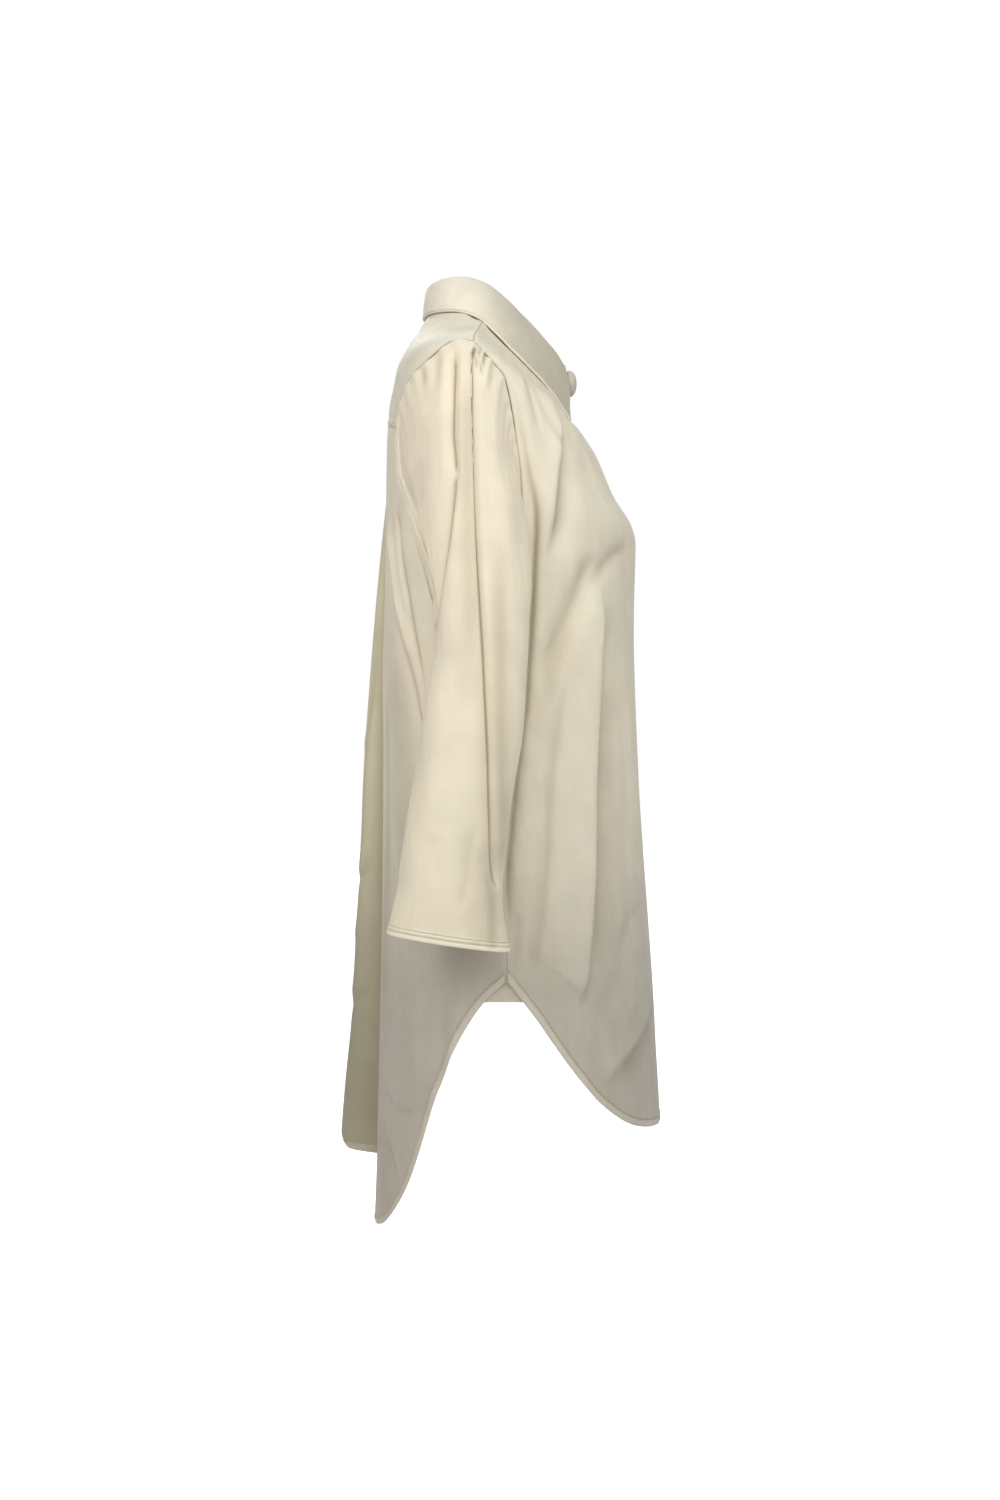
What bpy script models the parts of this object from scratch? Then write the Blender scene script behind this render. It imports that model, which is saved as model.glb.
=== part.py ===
"""Button-up shirt with a pointed collar, filled out as when worn, for Blender 4.5.

Metres, +Z up.  The front faces -Y and the wearer's right side is -X.  The origin is the
middle of the neck, level with the shoulder seams where they meet the collar: there the
wearer holds the shirt up.

The body of the shirt is one skin through rings.  A place on it is an angle, which is 0 at
the centre front, 90 degrees at the wearer's right side and 180 degrees at the centre back,
and a ring number that counts from the neckline downwards, so 2.5 is halfway between the
third ring and the fourth.  Every panel is a patch of that skin between four edges.
"""
import math

import bmesh
import bpy
import numpy as np

# ---------------------------------------------------------------- cloth and seams
CLOTH = 0.0014           # wall of one layer of crepe
COLLAR_CLOTH = 0.0017    # wall of the stand and of the fall, which hold interfacing
SEAM = 0.0003            # gap between two pieces at a seam
TRIM = 0.6 * SEAM        # how far each piece's edge is drawn back from the seam line
LAYER = CLOTH + SEAM     # step from one layer of cloth to the next one under it
LOOSE_LAYER = CLOTH + 0.0008   # the same where the two layers are cut differently

# ---------------------------------------------------------------- the body's rings
RING_COLUMNS = (
    "front_height", "side_height", "back_height",
    "front_reach", "back_reach", "half_width", "side_depth",
    "front_square", "back_square",
)
RINGS = {
    "neckline":  (-0.072, 0.000, 0.010, 0.064, 0.0700, 0.060, 0.0160, 2.0, 2.0),
    "mid slope": (-0.104, -0.023, -0.020, 0.075, 0.0940, 0.126, 0.0200, 2.0, 2.4),
    "shoulder":  (-0.128, -0.047, -0.060, 0.094, 0.1055, 0.190, 0.0235, 2.1, 3.0),
    "chest":     (-0.170, -0.120, -0.115, 0.113, 0.1095, 0.197, 0.0280, 2.2, 3.2),
    "bust":      (-0.215, -0.200, -0.190, 0.1340, 0.1110, 0.202, 0.0300, 2.4, 3.0),
    "underarm":  (-0.305, -0.305, -0.305, 0.1325, 0.1125, 0.208, 0.0280, 2.4, 2.8),
    "waist":     (-0.440, -0.440, -0.440, 0.1370, 0.1135, 0.214, 0.0120, 2.3, 2.5),
    "hip":       (-0.630, -0.630, -0.630, 0.1495, 0.1170, 0.226, -0.0060, 2.3, 2.4),
    "hem":       (-0.790, -0.790, -0.790, 0.1590, 0.1205, 0.238, -0.0060, 2.2, 2.3),
    "tail":      (-0.900, -0.900, -0.900, 0.1650, 0.1245, 0.245, -0.0060, 2.2, 2.3),
}
FRONT_SLOPE_BEND = 0.9   # how a ring's height runs from its side to its middle
BACK_SLOPE_BEND = 1.5
NECKLINE = 0.0
SHOULDER = 2.0
UNDERARM = 5.0

# ---------------------------------------------------------------- the panels' edges
# Armhole, from the shoulder tip to the underarm: angle and ring.
ARMHOLE_BACK = (
    (90.0, 2.00), (102.0, 1.93), (116.0, 2.18), (131.0, 2.50), (136.4, 3.08),
    (135.6, 3.58), (128.3, 4.02), (117.0, 4.52), (108.5, 4.90), (94.0, 5.06),
)
YOKE_END_ROW = 4         # the row of ARMHOLE_BACK where the yoke seam meets the armhole
ARMHOLE_FRONT = (
    (90.0, 2.00), (84.2, 2.26), (77.5, 2.56), (74.2, 3.10),
    (73.4, 3.80), (75.5, 4.50), (82.5, 4.93), (94.0, 5.06),
)
YOKE_MIDDLE = 0.9        # ring at the centre back that is level with the shoulder tip's row
YOKE_SEAM = ((136.4, 3.08), (150.0, 2.93), (165.0, 2.78), (180.0, 2.68))
# Side seam, from the underarm to the top of the vent: angle and ring.
SIDE_SEAM = ((94.0, 5.06), (93.0, 5.50), (91.0, 6.20), (90.0, 6.96))
# Shirt-tail hems, from the vent to the centre: angle and height.
HEM_FRONT = (
    (90.0, -0.622), (80.0, -0.655), (67.0, -0.703), (55.0, -0.739),
    (40.0, -0.763), (20.0, -0.775), (0.0, -0.780),
)
HEM_BACK = (
    (90.0, -0.622), (100.0, -0.643), (112.0, -0.686), (120.0, -0.732), (128.0, -0.786),
    (137.0, -0.829), (150.0, -0.860), (162.0, -0.872), (170.2, -0.876),
)
HEM_CORNER_POWER = 4     # how soon the front hem leaves the line of the centre edge
# Free centre edge of each back half: height and angle.  The two edges drift apart.
BACK_EDGE = ((-0.095, 176.5), (-0.330, 173.0), (-0.490, 168.6), (-0.880, 169.8))

# ---------------------------------------------------------------- centre front
OVERLAP = 0.015          # how far each front runs past the centre line
RIGHT_FRONT_CLEAR = 0.018   # the left front stays tucked under as far as this
TUCK_RUN = 0.018         # and comes up to the skin over this width
FLY_HEM_LIFT = 0.010

# ---------------------------------------------------------------- pleat underlay
PLEAT_TUCK = 0.014       # width hidden under each back half
PLEAT_RISE = 0.004       # how far it reaches up under the yoke
PLEAT_HEM = -0.812
# columns of one half: share of the opening from its middle to its edge, and what share of
# the crown's height each one has
PLEAT_SECTION = (
    (0.00, 1.00), (0.22, 1.00), (0.42, 0.97), (0.60, 0.80), (0.78, 0.45), (0.95, 0.00),
)
# height and how far the crown stands behind the back halves
PLEAT_CROWN = (
    (-0.090, -0.0022), (-0.140, 0.0005), (-0.227, 0.0078), (-0.330, 0.0160), (-0.430, 0.0215),
    (-0.580, 0.0262), (-0.680, 0.0298), (-0.750, 0.0345), (-0.900, 0.0420),
)

# ---------------------------------------------------------------- folds of the body
# A fold follows three places (angle, height); lift is out of the cloth, or into it if
# negative.  Width is half the fold's width.  The same folds lie on both sides.
FOLD_COLUMNS = ("start", "middle", "end", "width", "lift")
FOLDS = {
    "under the bust":     ((42.0, -0.245), (58.0, -0.300), (76.0, -0.400), 0.018, -0.0070),
    "front drape":        ((54.0, -0.270), (62.0, -0.450), (73.0, -0.640), 0.022, 0.0080),
    "front drape valley": ((43.0, -0.300), (50.0, -0.460), (60.0, -0.640), 0.016, -0.0070),
    "side valley":        ((70.0, -0.360), (79.0, -0.480), (85.0, -0.610), 0.014, -0.0050),
    "back armhole ridge": ((142.0, -0.225), (135.0, -0.305), (116.0, -0.355), 0.013, 0.0060),
    "back armhole valley": ((133.0, -0.225), (126.0, -0.290), (112.0, -0.340), 0.010, -0.0060),
    "second back ridge":  ((134.0, -0.320), (128.0, -0.360), (118.0, -0.430), 0.012, 0.0050),
    "shoulder drape":     ((70.0, -0.080), (61.0, -0.150), (64.0, -0.230), 0.012, 0.0040),
}
FOLD_RADIUS = 0.19       # turns a fold's angle into a distance round the body
FOLD_FADE = 0.22         # share of a fold's length over which it dies away

# ---------------------------------------------------------------- collar
STAND_GAP = 0.0012       # its foot stands this far above the neckline
STAND_ROWS = 2
STAND_TOP_DROP = 0.0026  # the stand's top lies this far under the fold of the fall
STAND_IN = 0.0008        # and this far inside it
STAND_LAP = 0.0022       # the left end of the stand passes this far inside the right one
STAND_END = 9.0          # angle by which each end passes the centre front
STAND_LAP_RUN = (333.0, 351.0)   # angles over which the left end steps inside
FOLD_RING = {"front": 0.0640, "back": 0.0710, "half_width": 0.0560, "side_depth": 0.0156}
# height of the collar's fold: angle and height
FOLD_HEIGHT = (
    (0.0, -0.0345), (15.0, -0.0325), (30.0, -0.0235), (60.0, 0.0050), (75.0, 0.0235),
    (90.0, 0.0380), (110.0, 0.0440), (135.0, 0.0450), (180.0, 0.0430),
)
# outer edge of the fall: angle on the fold, then x, y and z of the edge
FALL_EDGE = (
    (10.5, 0.0340, -0.0735, -0.0915),
    (20.0, 0.0480, -0.0580, -0.0745),
    (36.0, 0.0630, -0.0380, -0.0540),
    (52.0, 0.0710, -0.0200, -0.0370),
    (70.0, 0.0755, 0.0000, -0.0170),
    (90.0, 0.0755, 0.0190, 0.0000),
    (110.0, 0.0690, 0.0390, 0.0070),
    (135.0, 0.0540, 0.0600, 0.0105),
    (160.0, 0.0280, 0.0745, 0.0130),
    (180.0, 0.0000, 0.0790, 0.0140),
)
# section of the roll over the fold: out and up from the fold
ROLL = ((-0.0024, -0.0006), (0.0000, 0.0000), (0.0026, -0.0020))
FALL_ROWS = 4
FALL_BOW = 0.0012        # how far the fall bows out between its roll and its edge

# ---------------------------------------------------------------- neck button
BUTTON_CENTRE = (0.0000, -0.0665, -0.0510)
# turned profile: radius and height over the cap's back; the shank reaches back to the stand
BUTTON_PROFILE = (
    (0.0035, -0.0026), (0.0035, 0.0016), (0.0110, 0.0020), (0.0128, 0.0034),
    (0.0130, 0.0046), (0.0118, 0.0068), (0.0088, 0.0088), (0.0045, 0.0099),
)
BUTTON_TOP = 0.0103
BUTTON_SIDES = 24

# ---------------------------------------------------------------- sleeves
# Sections of the hanging tube: height, centre x and y, half sizes along x and y.
SLEEVE_COLUMNS = ("height", "centre_x", "centre_y", "half_x", "half_y")
SLEEVE = {
    "upper arm": (-0.3360, -0.2490, 0.0175, 0.0335, 0.0405),
    "elbow":     (-0.4200, -0.2550, 0.0262, 0.0355, 0.0448),
    "forearm":   (-0.4900, -0.2595, 0.0378, 0.0360, 0.0450),
    "low":       (-0.5350, -0.2620, 0.0428, 0.0355, 0.0458),
    "hem":       (-0.5840, -0.2640, 0.0445, 0.0345, 0.0535),
}
SLEEVE_HEM_TILT = 0.146  # rise of the hem towards the back
CAP_PULL_TOP = 0.115     # how far the cap runs on from the armhole at the shoulder tip
CAP_PULL_UNDERARM = 0.018
CAP_PULL_POWER = 1.3
CAP_FALL_TOP = 0.200     # how early the cap turns down
CAP_FALL_UNDERARM = 0.020
CAP_LIFT = 0.35          # share of the armhole's own direction at the underarm
# Long creases on the outer face: height, where they lie in y, their half width and depth.
CREASE_COLUMNS = ("top", "top_y", "middle", "middle_y", "bottom", "bottom_y", "width", "depth")
SLEEVE_CREASES = {
    "front crease": (-0.075, 0.0240, -0.300, 0.0175, -0.530, 0.0010, 0.0085, 0.0070),
    "back crease":  (-0.075, 0.0410, -0.170, 0.0400, -0.310, 0.0520, 0.0075, 0.0060),
}
CREASE_FADE = 0.06
CREASE_CROWD = 20.0      # degrees by which the columns draw together round the front crease

# ---------------------------------------------------------------- vent gusset
GUSSET_RISE = 0.006      # how far it reaches above the top of the vent
GUSSET_BOTTOM = -0.641
GUSSET_TUCK = {"back": 0.004, "front": 0.0075}   # width hidden under each panel
GUSSET_ROWS = 3
GUSSET_COLUMNS = 4
GUSSET_LAYER = CLOTH + 0.0012

# ---------------------------------------------------------------- mesh density
SHOULDER_STEPS = 3
ARMHOLE_FRONT_STEPS = 9
ARMHOLE_YOKE_STEPS = 4
ARMHOLE_BACK_STEPS = 6
SIDE_STEPS = 9
FRONT_COLUMNS = 10
BACK_COLUMNS = 8
CAP_ROWS = 6
TUBE_ROWS = 9
COLLAR_FRONT_COLUMNS = 8
COLLAR_BACK_COLUMNS = 8

RING_SAMPLES = 500
FINE = 40                # places from one row of a table to the next on a fine line
NORMAL_STEP = 0.02       # step in angle and in ring number for the skin's direction
FOLD_STEP = 0.5          # step in angle for the direction of the collar's fold
SHORT_DIAGONAL = 0.96    # a cell is split the other way if that diagonal is shorter than this
SHARP_ANGLE = 40.0

# ---------------------------------------------------------------- colours
CREPE = (0.76, 0.70, 0.57, 1.0)
CREPE_SHADE = (0.60, 0.57, 0.46, 1.0)
CREPE_ROUGHNESS = 0.62
BUTTON_ROUGHNESS = 0.50


# ================================================================ curves and the skin
def smooth(knots, values, at):
    """Smooth curve through a table, with no overshoot between its rows."""
    knots = np.asarray(knots, float)
    values = np.asarray(values, float)
    at = np.clip(np.asarray(at, float), knots[0], knots[-1])
    if values.ndim == 1:
        return smooth(knots, values[:, None], at)[..., 0]
    step = np.diff(knots)[:, None]
    rate = np.diff(values, axis=0) / step
    slope = np.zeros_like(values)
    slope[0] = rate[0]
    slope[-1] = rate[-1]
    before, after = rate[:-1], rate[1:]
    same = before * after > 0
    weight_before = 2 * step[1:] + step[:-1]
    weight_after = step[1:] + 2 * step[:-1]
    safe_before = np.where(same, before, 1.0)
    safe_after = np.where(same, after, 1.0)
    mean = (weight_before + weight_after) / (weight_before / safe_before + weight_after / safe_after)
    slope[1:-1] = np.where(same, mean, 0.0)
    i = np.clip(np.searchsorted(knots, at, side="right") - 1, 0, len(knots) - 2)
    span = step[i, 0][..., None]
    t = (at - knots[i])[..., None] / span
    rise = t * t * (3 - 2 * t)
    lead = t * (1 - t) ** 2 * span
    trail = t * t * (1 - t) * span
    return values[i] * (1 - rise) + values[i + 1] * rise + slope[i] * lead - slope[i + 1] * trail


def read(rows, at):
    """Second column of a two-column table at a value of its first column."""
    table = np.array(sorted(rows))
    return smooth(table[:, 0], table[:, 1], at)


def smoothstep(low, high, value):
    """0 below low, 1 above high and a soft ramp between them."""
    t = np.clip((np.asarray(value, float) - low) / (high - low), 0.0, 1.0)
    return t * t * (3 - 2 * t)


def unit(vectors):
    """The same directions with length 1."""
    return vectors / np.linalg.norm(vectors, axis=-1, keepdims=True)


RING_VALUES = np.array(list(RINGS.values()))
RING_NUMBERS = np.arange(len(RINGS))


def bare_skin(angle, ring):
    """Point of the skin without its folds; angle in degrees."""
    turn = np.radians(np.asarray(angle, float))
    columns = smooth(RING_NUMBERS, RING_VALUES, ring)
    row = dict(zip(RING_COLUMNS, np.moveaxis(columns, -1, 0)))
    ahead = np.cos(turn)
    aside = np.sin(turn)
    in_front = ahead >= 0
    square = np.where(in_front, row["front_square"], row["back_square"])
    stretch = (np.abs(ahead) ** square + np.abs(aside) ** square) ** (-1 / square)
    away = np.abs(ahead) * stretch
    front_run = -row["front_reach"] - row["side_depth"]
    back_run = row["back_reach"] - row["side_depth"]
    centre_height = np.where(in_front, row["front_height"], row["back_height"])
    x = -row["half_width"] * aside * stretch
    y = row["side_depth"] + np.where(in_front, front_run, back_run) * away
    bend = np.where(in_front, FRONT_SLOPE_BEND, BACK_SLOPE_BEND)
    z = row["side_height"] + (centre_height - row["side_height"]) * away ** bend
    return np.stack([x, y, z], axis=-1)


def skin_normal(angle, ring):
    """Outward direction of the skin."""
    angle = np.asarray(angle, float)
    ring = np.asarray(ring, float)
    around = bare_skin(angle + NORMAL_STEP, ring) - bare_skin(angle - NORMAL_STEP, ring)
    low = np.clip(ring + NORMAL_STEP, 0, RING_NUMBERS[-1])
    high = np.clip(ring - NORMAL_STEP, 0, RING_NUMBERS[-1])
    down = bare_skin(angle, low) - bare_skin(angle, high)
    return unit(np.cross(around, down))


def fold_lift(angle, height):
    """How far the folds lift the skin at an angle and a height."""
    angle = np.abs(np.asarray(angle, float))
    lift = np.zeros(np.broadcast(angle, height).shape)
    across = np.radians(angle) * FOLD_RADIUS
    for values in FOLDS.values():
        row = dict(zip(FOLD_COLUMNS, values))
        path = np.array([row["start"], row["middle"], row["end"]])
        length = path[0, 1] - path[2, 1]
        run = np.clip((path[0, 1] - height) / length, 0.0, 1.0)
        knots = (path[0, 1] - path[:, 1]) / length
        centre = np.radians(smooth(knots, path[:, 0], run)) * FOLD_RADIUS
        past = np.abs(height - np.clip(height, path[2, 1], path[0, 1]))
        distance = np.hypot(across - centre, past)
        fade = smoothstep(0.0, FOLD_FADE, run) * smoothstep(0.0, FOLD_FADE, 1 - run)
        lift += row["lift"] * fade * np.exp(-((distance / row["width"]) ** 2))
    return lift


def skin(angle, ring, lift=0.0):
    """Point of the skin with its folds, moved out by lift."""
    base = bare_skin(angle, ring)
    raised = fold_lift(angle, base[..., 2]) + lift
    return base + skin_normal(angle, ring) * np.asarray(raised)[..., None]


def ring_at(height, angle):
    """Ring number that has a height at an angle, below the shoulder."""
    rings = np.linspace(SHOULDER, RING_NUMBERS[-1], RING_SAMPLES)
    found = []
    for wanted, turn in zip(np.atleast_1d(height), np.atleast_1d(angle)):
        heights = bare_skin(np.full(rings.shape, turn), rings)[:, 2]
        found.append(np.interp(-wanted, -heights, rings))
    return np.array(found)


def fine_line(rows):
    """Many places on a smooth line through rows, FINE of them from one row to the next."""
    table = np.array(rows, float)
    at = np.linspace(0, len(table) - 1, FINE * (len(table) - 1) + 1)
    return smooth(np.arange(len(table)), table, at)


def even_places(places, steps):
    """Thin a fine line of places to even distances."""
    points = bare_skin(places[:, 0], places[:, 1])
    length = np.concatenate([[0], np.cumsum(np.linalg.norm(np.diff(points, axis=0), axis=1))])
    even = np.linspace(0, length[-1], steps + 1)
    return np.stack([np.interp(even, length, places[:, i]) for i in range(2)], 1)


def along(rows, steps):
    """Places on the skin at even distances along a smooth line through rows."""
    return even_places(fine_line(rows), steps)


def hem_line(rows, steps):
    """Places on the skin along a hem given by angle and height."""
    table = np.array(rows, float)
    rings = ring_at(table[:, 1], table[:, 0])
    return along(np.stack([table[:, 0], rings], 1), steps)


def patch(left, right, top, bottom):
    """Places on the skin inside four edges that meet at their ends."""
    u = np.linspace(0, 1, len(top))[None, :, None]
    v = np.linspace(0, 1, len(left))[:, None, None]
    rows = left[:, None] * (1 - u) + right[:, None] * u
    columns = top[None, :] * (1 - v) + bottom[None, :] * v
    corners = (
        top[0] * (1 - u) * (1 - v) + top[-1] * u * (1 - v)
        + bottom[0] * (1 - u) * v + bottom[-1] * u * v
    )
    return rows + columns - corners


# ================================================================ objects
def cloth_material(name, colour, roughness):
    """Plain material of one piece."""
    material = bpy.data.materials.new(name)
    material.use_nodes = True
    shader = material.node_tree.nodes["Principled BSDF"]
    shader.inputs["Base Color"].default_value = colour
    shader.inputs["Roughness"].default_value = roughness
    shader.inputs["Metallic"].default_value = 0.0
    return material


def add_object(name, mesh_builder, colour=CREPE, roughness=CREPE_ROUGHNESS):
    """Turn a bmesh into a named object with its own material."""
    bmesh.ops.recalc_face_normals(mesh_builder, faces=mesh_builder.faces[:])
    mesh = bpy.data.meshes.new(name)
    mesh_builder.to_mesh(mesh)
    mesh_builder.free()
    mesh.materials.append(cloth_material(name, colour, roughness))
    mesh.shade_smooth()
    mesh.set_sharp_from_angle(angle=math.radians(SHARP_ANGLE))
    piece = bpy.data.objects.new(name, mesh)
    bpy.context.collection.objects.link(piece)
    return piece


def add_wall(name, outer, inner, closed=False, colour=CREPE):
    """Closed wall between two grids of points; closed joins the last column to the first."""
    builder = bmesh.new()
    rows, columns = outer.shape[:2]
    skins = []
    for grid in (outer, inner):
        skins.append([[builder.verts.new(point) for point in line] for line in grid])
    outside, inside = skins

    def add_cell(a, b, c, d, turned=False):
        """Two triangles of the cell a, b, c, d, split from a to c, or from b to d if turned."""
        first, second, third, fourth = (b, c, d, a) if turned else (a, b, c, d)
        builder.faces.new((first, second, third))
        builder.faces.new((first, third, fourth))

    last = columns if closed else columns - 1
    for i in range(rows - 1):
        for j in range(last):
            k = (j + 1) % columns
            usual = np.linalg.norm(outer[i, j] - outer[i + 1, k])
            other = np.linalg.norm(outer[i, k] - outer[i + 1, j])
            for side in skins:
                corners = (side[i][j], side[i][k], side[i + 1][k], side[i + 1][j])
                add_cell(*corners, turned=other < SHORT_DIAGONAL * usual)
    for j in range(last):
        k = (j + 1) % columns
        add_cell(outside[0][j], outside[0][k], inside[0][k], inside[0][j])
        add_cell(outside[-1][j], outside[-1][k], inside[-1][k], inside[-1][j])
    if not closed:
        for i in range(rows - 1):
            add_cell(outside[i][0], outside[i + 1][0], inside[i + 1][0], inside[i][0])
            add_cell(outside[i][-1], outside[i + 1][-1], inside[i + 1][-1], inside[i][-1])
    return add_object(name, builder, colour)


def trim(outer, inner, sides):
    """Draw the named sides of a wall back from their seams."""
    edges = {
        "top": (np.s_[0, :], np.s_[1, :]),
        "bottom": (np.s_[-1, :], np.s_[-2, :]),
        "left": (np.s_[:, 0], np.s_[:, 1]),
        "right": (np.s_[:, -1], np.s_[:, -2]),
    }
    for side in sides:
        edge, next_line = edges[side]
        back = unit(outer[next_line] - outer[edge]) * TRIM
        outer[edge] += back
        inner[edge] += back


def mirrored(grid):
    """The same points on the wearer's other side."""
    return grid * np.array([-1.0, 1.0, 1.0])


def add_panel(name, places, lift, trimmed, other_side=False, colour=CREPE):
    """Wall of cloth over a patch of places on the skin."""
    angle, ring = places[..., 0], places[..., 1]
    outer = skin(angle, ring, lift)
    inner = skin(angle, ring, lift - CLOTH)
    trim(outer, inner, trimmed)
    if other_side:
        outer, inner = mirrored(outer), mirrored(inner)
    return add_wall(name, outer, inner, colour=colour)


# ================================================================ body
def overlap_angle(ring):
    """Angle by which a front passes the centre line, on each ring."""
    half_width = smooth(RING_NUMBERS, RING_VALUES, ring)[..., RING_COLUMNS.index("half_width")]
    return np.degrees(np.arcsin(OVERLAP / half_width))


def front_places():
    """Places of a front, from the centre edge to the armhole and the side seam."""
    shoulder = np.stack([np.full(SHOULDER_STEPS + 1, 90.0),
                         np.linspace(NECKLINE, SHOULDER, SHOULDER_STEPS + 1)], 1)
    armhole = along(ARMHOLE_FRONT, ARMHOLE_FRONT_STEPS)
    side = along(SIDE_SEAM, SIDE_STEPS)
    right = np.concatenate([shoulder, armhole[1:], side[1:]])
    hem = hem_line(HEM_FRONT, FRONT_COLUMNS)[::-1]
    hem[-1] = right[-1]
    centre_rings = np.concatenate([
        np.linspace(NECKLINE, SHOULDER, SHOULDER_STEPS + 1),
        np.linspace(SHOULDER, UNDERARM, ARMHOLE_FRONT_STEPS + 1)[1:],
        np.linspace(UNDERARM, hem[0, 1], SIDE_STEPS + 1)[1:],
    ])
    overlap = overlap_angle(centre_rings)
    placket = [np.stack([overlap * side, centre_rings], 1) for side in (-1.0, 0.0, 1.0)]
    left = placket[-1]
    share = np.linspace(0, 1, FRONT_COLUMNS + 1)
    top = np.stack([left[0, 0] + (90.0 - left[0, 0]) * share, np.full(share.shape, NECKLINE)], 1)
    bottom = hem + (left[-1] - hem[0]) * (1 - share[:, None]) ** HEM_CORNER_POWER
    field = patch(left, right, top, bottom)
    return np.concatenate([np.stack(placket[:2], 1), field], 1)


def build_fronts():
    """Both fronts and the hidden button band that lies between them."""
    places = front_places()
    add_panel("front_right", places, 0.0, ("top", "right"))

    from_centre = -bare_skin(places[..., 0], places[..., 1])[..., 0]
    tucked = 1 - smoothstep(RIGHT_FRONT_CLEAR, RIGHT_FRONT_CLEAR + TUCK_RUN, from_centre)
    under = -(LAYER + LOOSE_LAYER) * tucked
    add_panel("front_left", places, under, ("top", "right"), other_side=True)

    band = places[:, :3].copy()
    band[-1, :, 1] -= FLY_HEM_LIFT / (RINGS["waist"][0] - RINGS["hip"][0])
    add_panel("placket_fly", band, -LAYER, ("top",), colour=CREPE_SHADE)


def back_armhole():
    """Armhole on the back, in the yoke's stretch and the back's stretch."""
    fine = fine_line(ARMHOLE_BACK)
    split = YOKE_END_ROW * FINE
    upper = even_places(fine[:split + 1], ARMHOLE_YOKE_STEPS)
    lower = even_places(fine[split:], ARMHOLE_BACK_STEPS)
    return upper, lower


def yoke_seam_places():
    """Yoke seam from the armhole to the centre back; the last place but one is a back edge."""
    angles = np.linspace(YOKE_SEAM[0][0], BACK_EDGE[0][1], BACK_COLUMNS + 1)
    angles = np.append(angles, YOKE_SEAM[-1][0])
    return np.stack([angles, read(YOKE_SEAM, angles)], 1)


def build_yoke():
    """Back yoke in one piece, from shoulder seam to shoulder seam."""
    shoulder = np.stack([np.full(SHOULDER_STEPS + 1, 90.0),
                         np.linspace(NECKLINE, SHOULDER, SHOULDER_STEPS + 1)], 1)
    upper, _ = back_armhole()
    side = np.concatenate([shoulder, upper[1:]])
    seam = yoke_seam_places()
    centre_rings = np.concatenate([
        np.linspace(NECKLINE, YOKE_MIDDLE, SHOULDER_STEPS + 1),
        np.linspace(YOKE_MIDDLE, seam[-1, 1], ARMHOLE_YOKE_STEPS + 1)[1:],
    ])
    centre = np.stack([np.full(len(side), 180.0), centre_rings], 1)
    share = (seam[:, 0] - seam[0, 0]) / (seam[-1, 0] - seam[0, 0])
    neck = np.stack([90.0 + 90.0 * share, np.full(share.shape, NECKLINE)], 1)
    half = patch(side, centre, neck, seam)
    other = half[:, -2::-1].copy()
    other[..., 0] = 360.0 - other[..., 0]
    places = np.concatenate([half, other], 1)
    angle, ring = places[..., 0], places[..., 1]
    outer = skin(angle, ring)
    inner = skin(angle, ring, -CLOTH)
    trim(outer, inner, ("top", "bottom", "left", "right"))
    add_wall("yoke", outer, inner, colour=CREPE_SHADE)


def back_places():
    """Places of a back half, from the armhole and side seam to the free centre edge."""
    _, armhole = back_armhole()
    side = along(SIDE_SEAM, SIDE_STEPS)
    left = np.concatenate([armhole, side[1:]])
    top = yoke_seam_places()[:-1]
    hem = hem_line(HEM_BACK, BACK_COLUMNS)
    hem[0] = left[-1]
    start = bare_skin(top[-1, 0], top[-1, 1])[2]
    end = bare_skin(hem[-1, 0], hem[-1, 1])[2]
    armhole_steps = len(armhole) - 1
    level = bare_skin(180.0, UNDERARM)[2]
    heights = np.concatenate([
        np.linspace(start, level, armhole_steps + 1),
        np.linspace(level, end, SIDE_STEPS + 1)[1:],
    ])
    angles = read(BACK_EDGE, heights)
    angles[0] = top[-1, 0]
    rings = ring_at(heights, angles)
    rings[0] = top[-1, 1]
    rings[-1] = hem[-1, 1]
    angles[-1] = hem[-1, 0]
    right = np.stack([angles, rings], 1)
    return patch(left, right, top, hem)


def build_back():
    """Both back halves and the pleat underlay between their free edges."""
    places = back_places()
    add_panel("back_right", places, 0.0, ("top", "left"))
    add_panel("back_left", places, 0.0, ("top", "left"), other_side=True)

    heights = bare_skin(places[:, -1, 0], places[:, -1, 1])[:, 2]
    heights = np.linspace(heights[0] + PLEAT_RISE, PLEAT_HEM, len(heights))
    edge_turn = 180.0 - read(BACK_EDGE, heights)
    half_width = smooth(RING_NUMBERS, RING_VALUES, ring_at(heights, 180.0 - edge_turn))
    half_width = half_width[..., RING_COLUMNS.index("half_width")]
    tuck_turn = np.degrees(PLEAT_TUCK / half_width)
    crown = read(PLEAT_CROWN, heights)
    section = np.array(PLEAT_SECTION)
    half = edge_turn[:, None] * section[None, :, 0]
    hidden = (edge_turn + tuck_turn)[:, None]
    turn = np.concatenate([-hidden, -half[:, :0:-1], half, hidden], 1)
    rise = np.concatenate([[0.0], section[:0:-1, 1], section[:, 1], [0.0]])[None, :]
    lift = -LOOSE_LAYER + (crown[:, None] + LOOSE_LAYER) * rise
    angle = 180.0 + turn
    ring = np.stack([ring_at(heights, 180.0 + column) for column in turn.T], 1)
    outer = skin(angle, ring, lift)
    inner = skin(angle, ring, lift - CLOTH)
    add_wall("back_pleat", outer, inner, colour=CREPE_SHADE)


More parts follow.
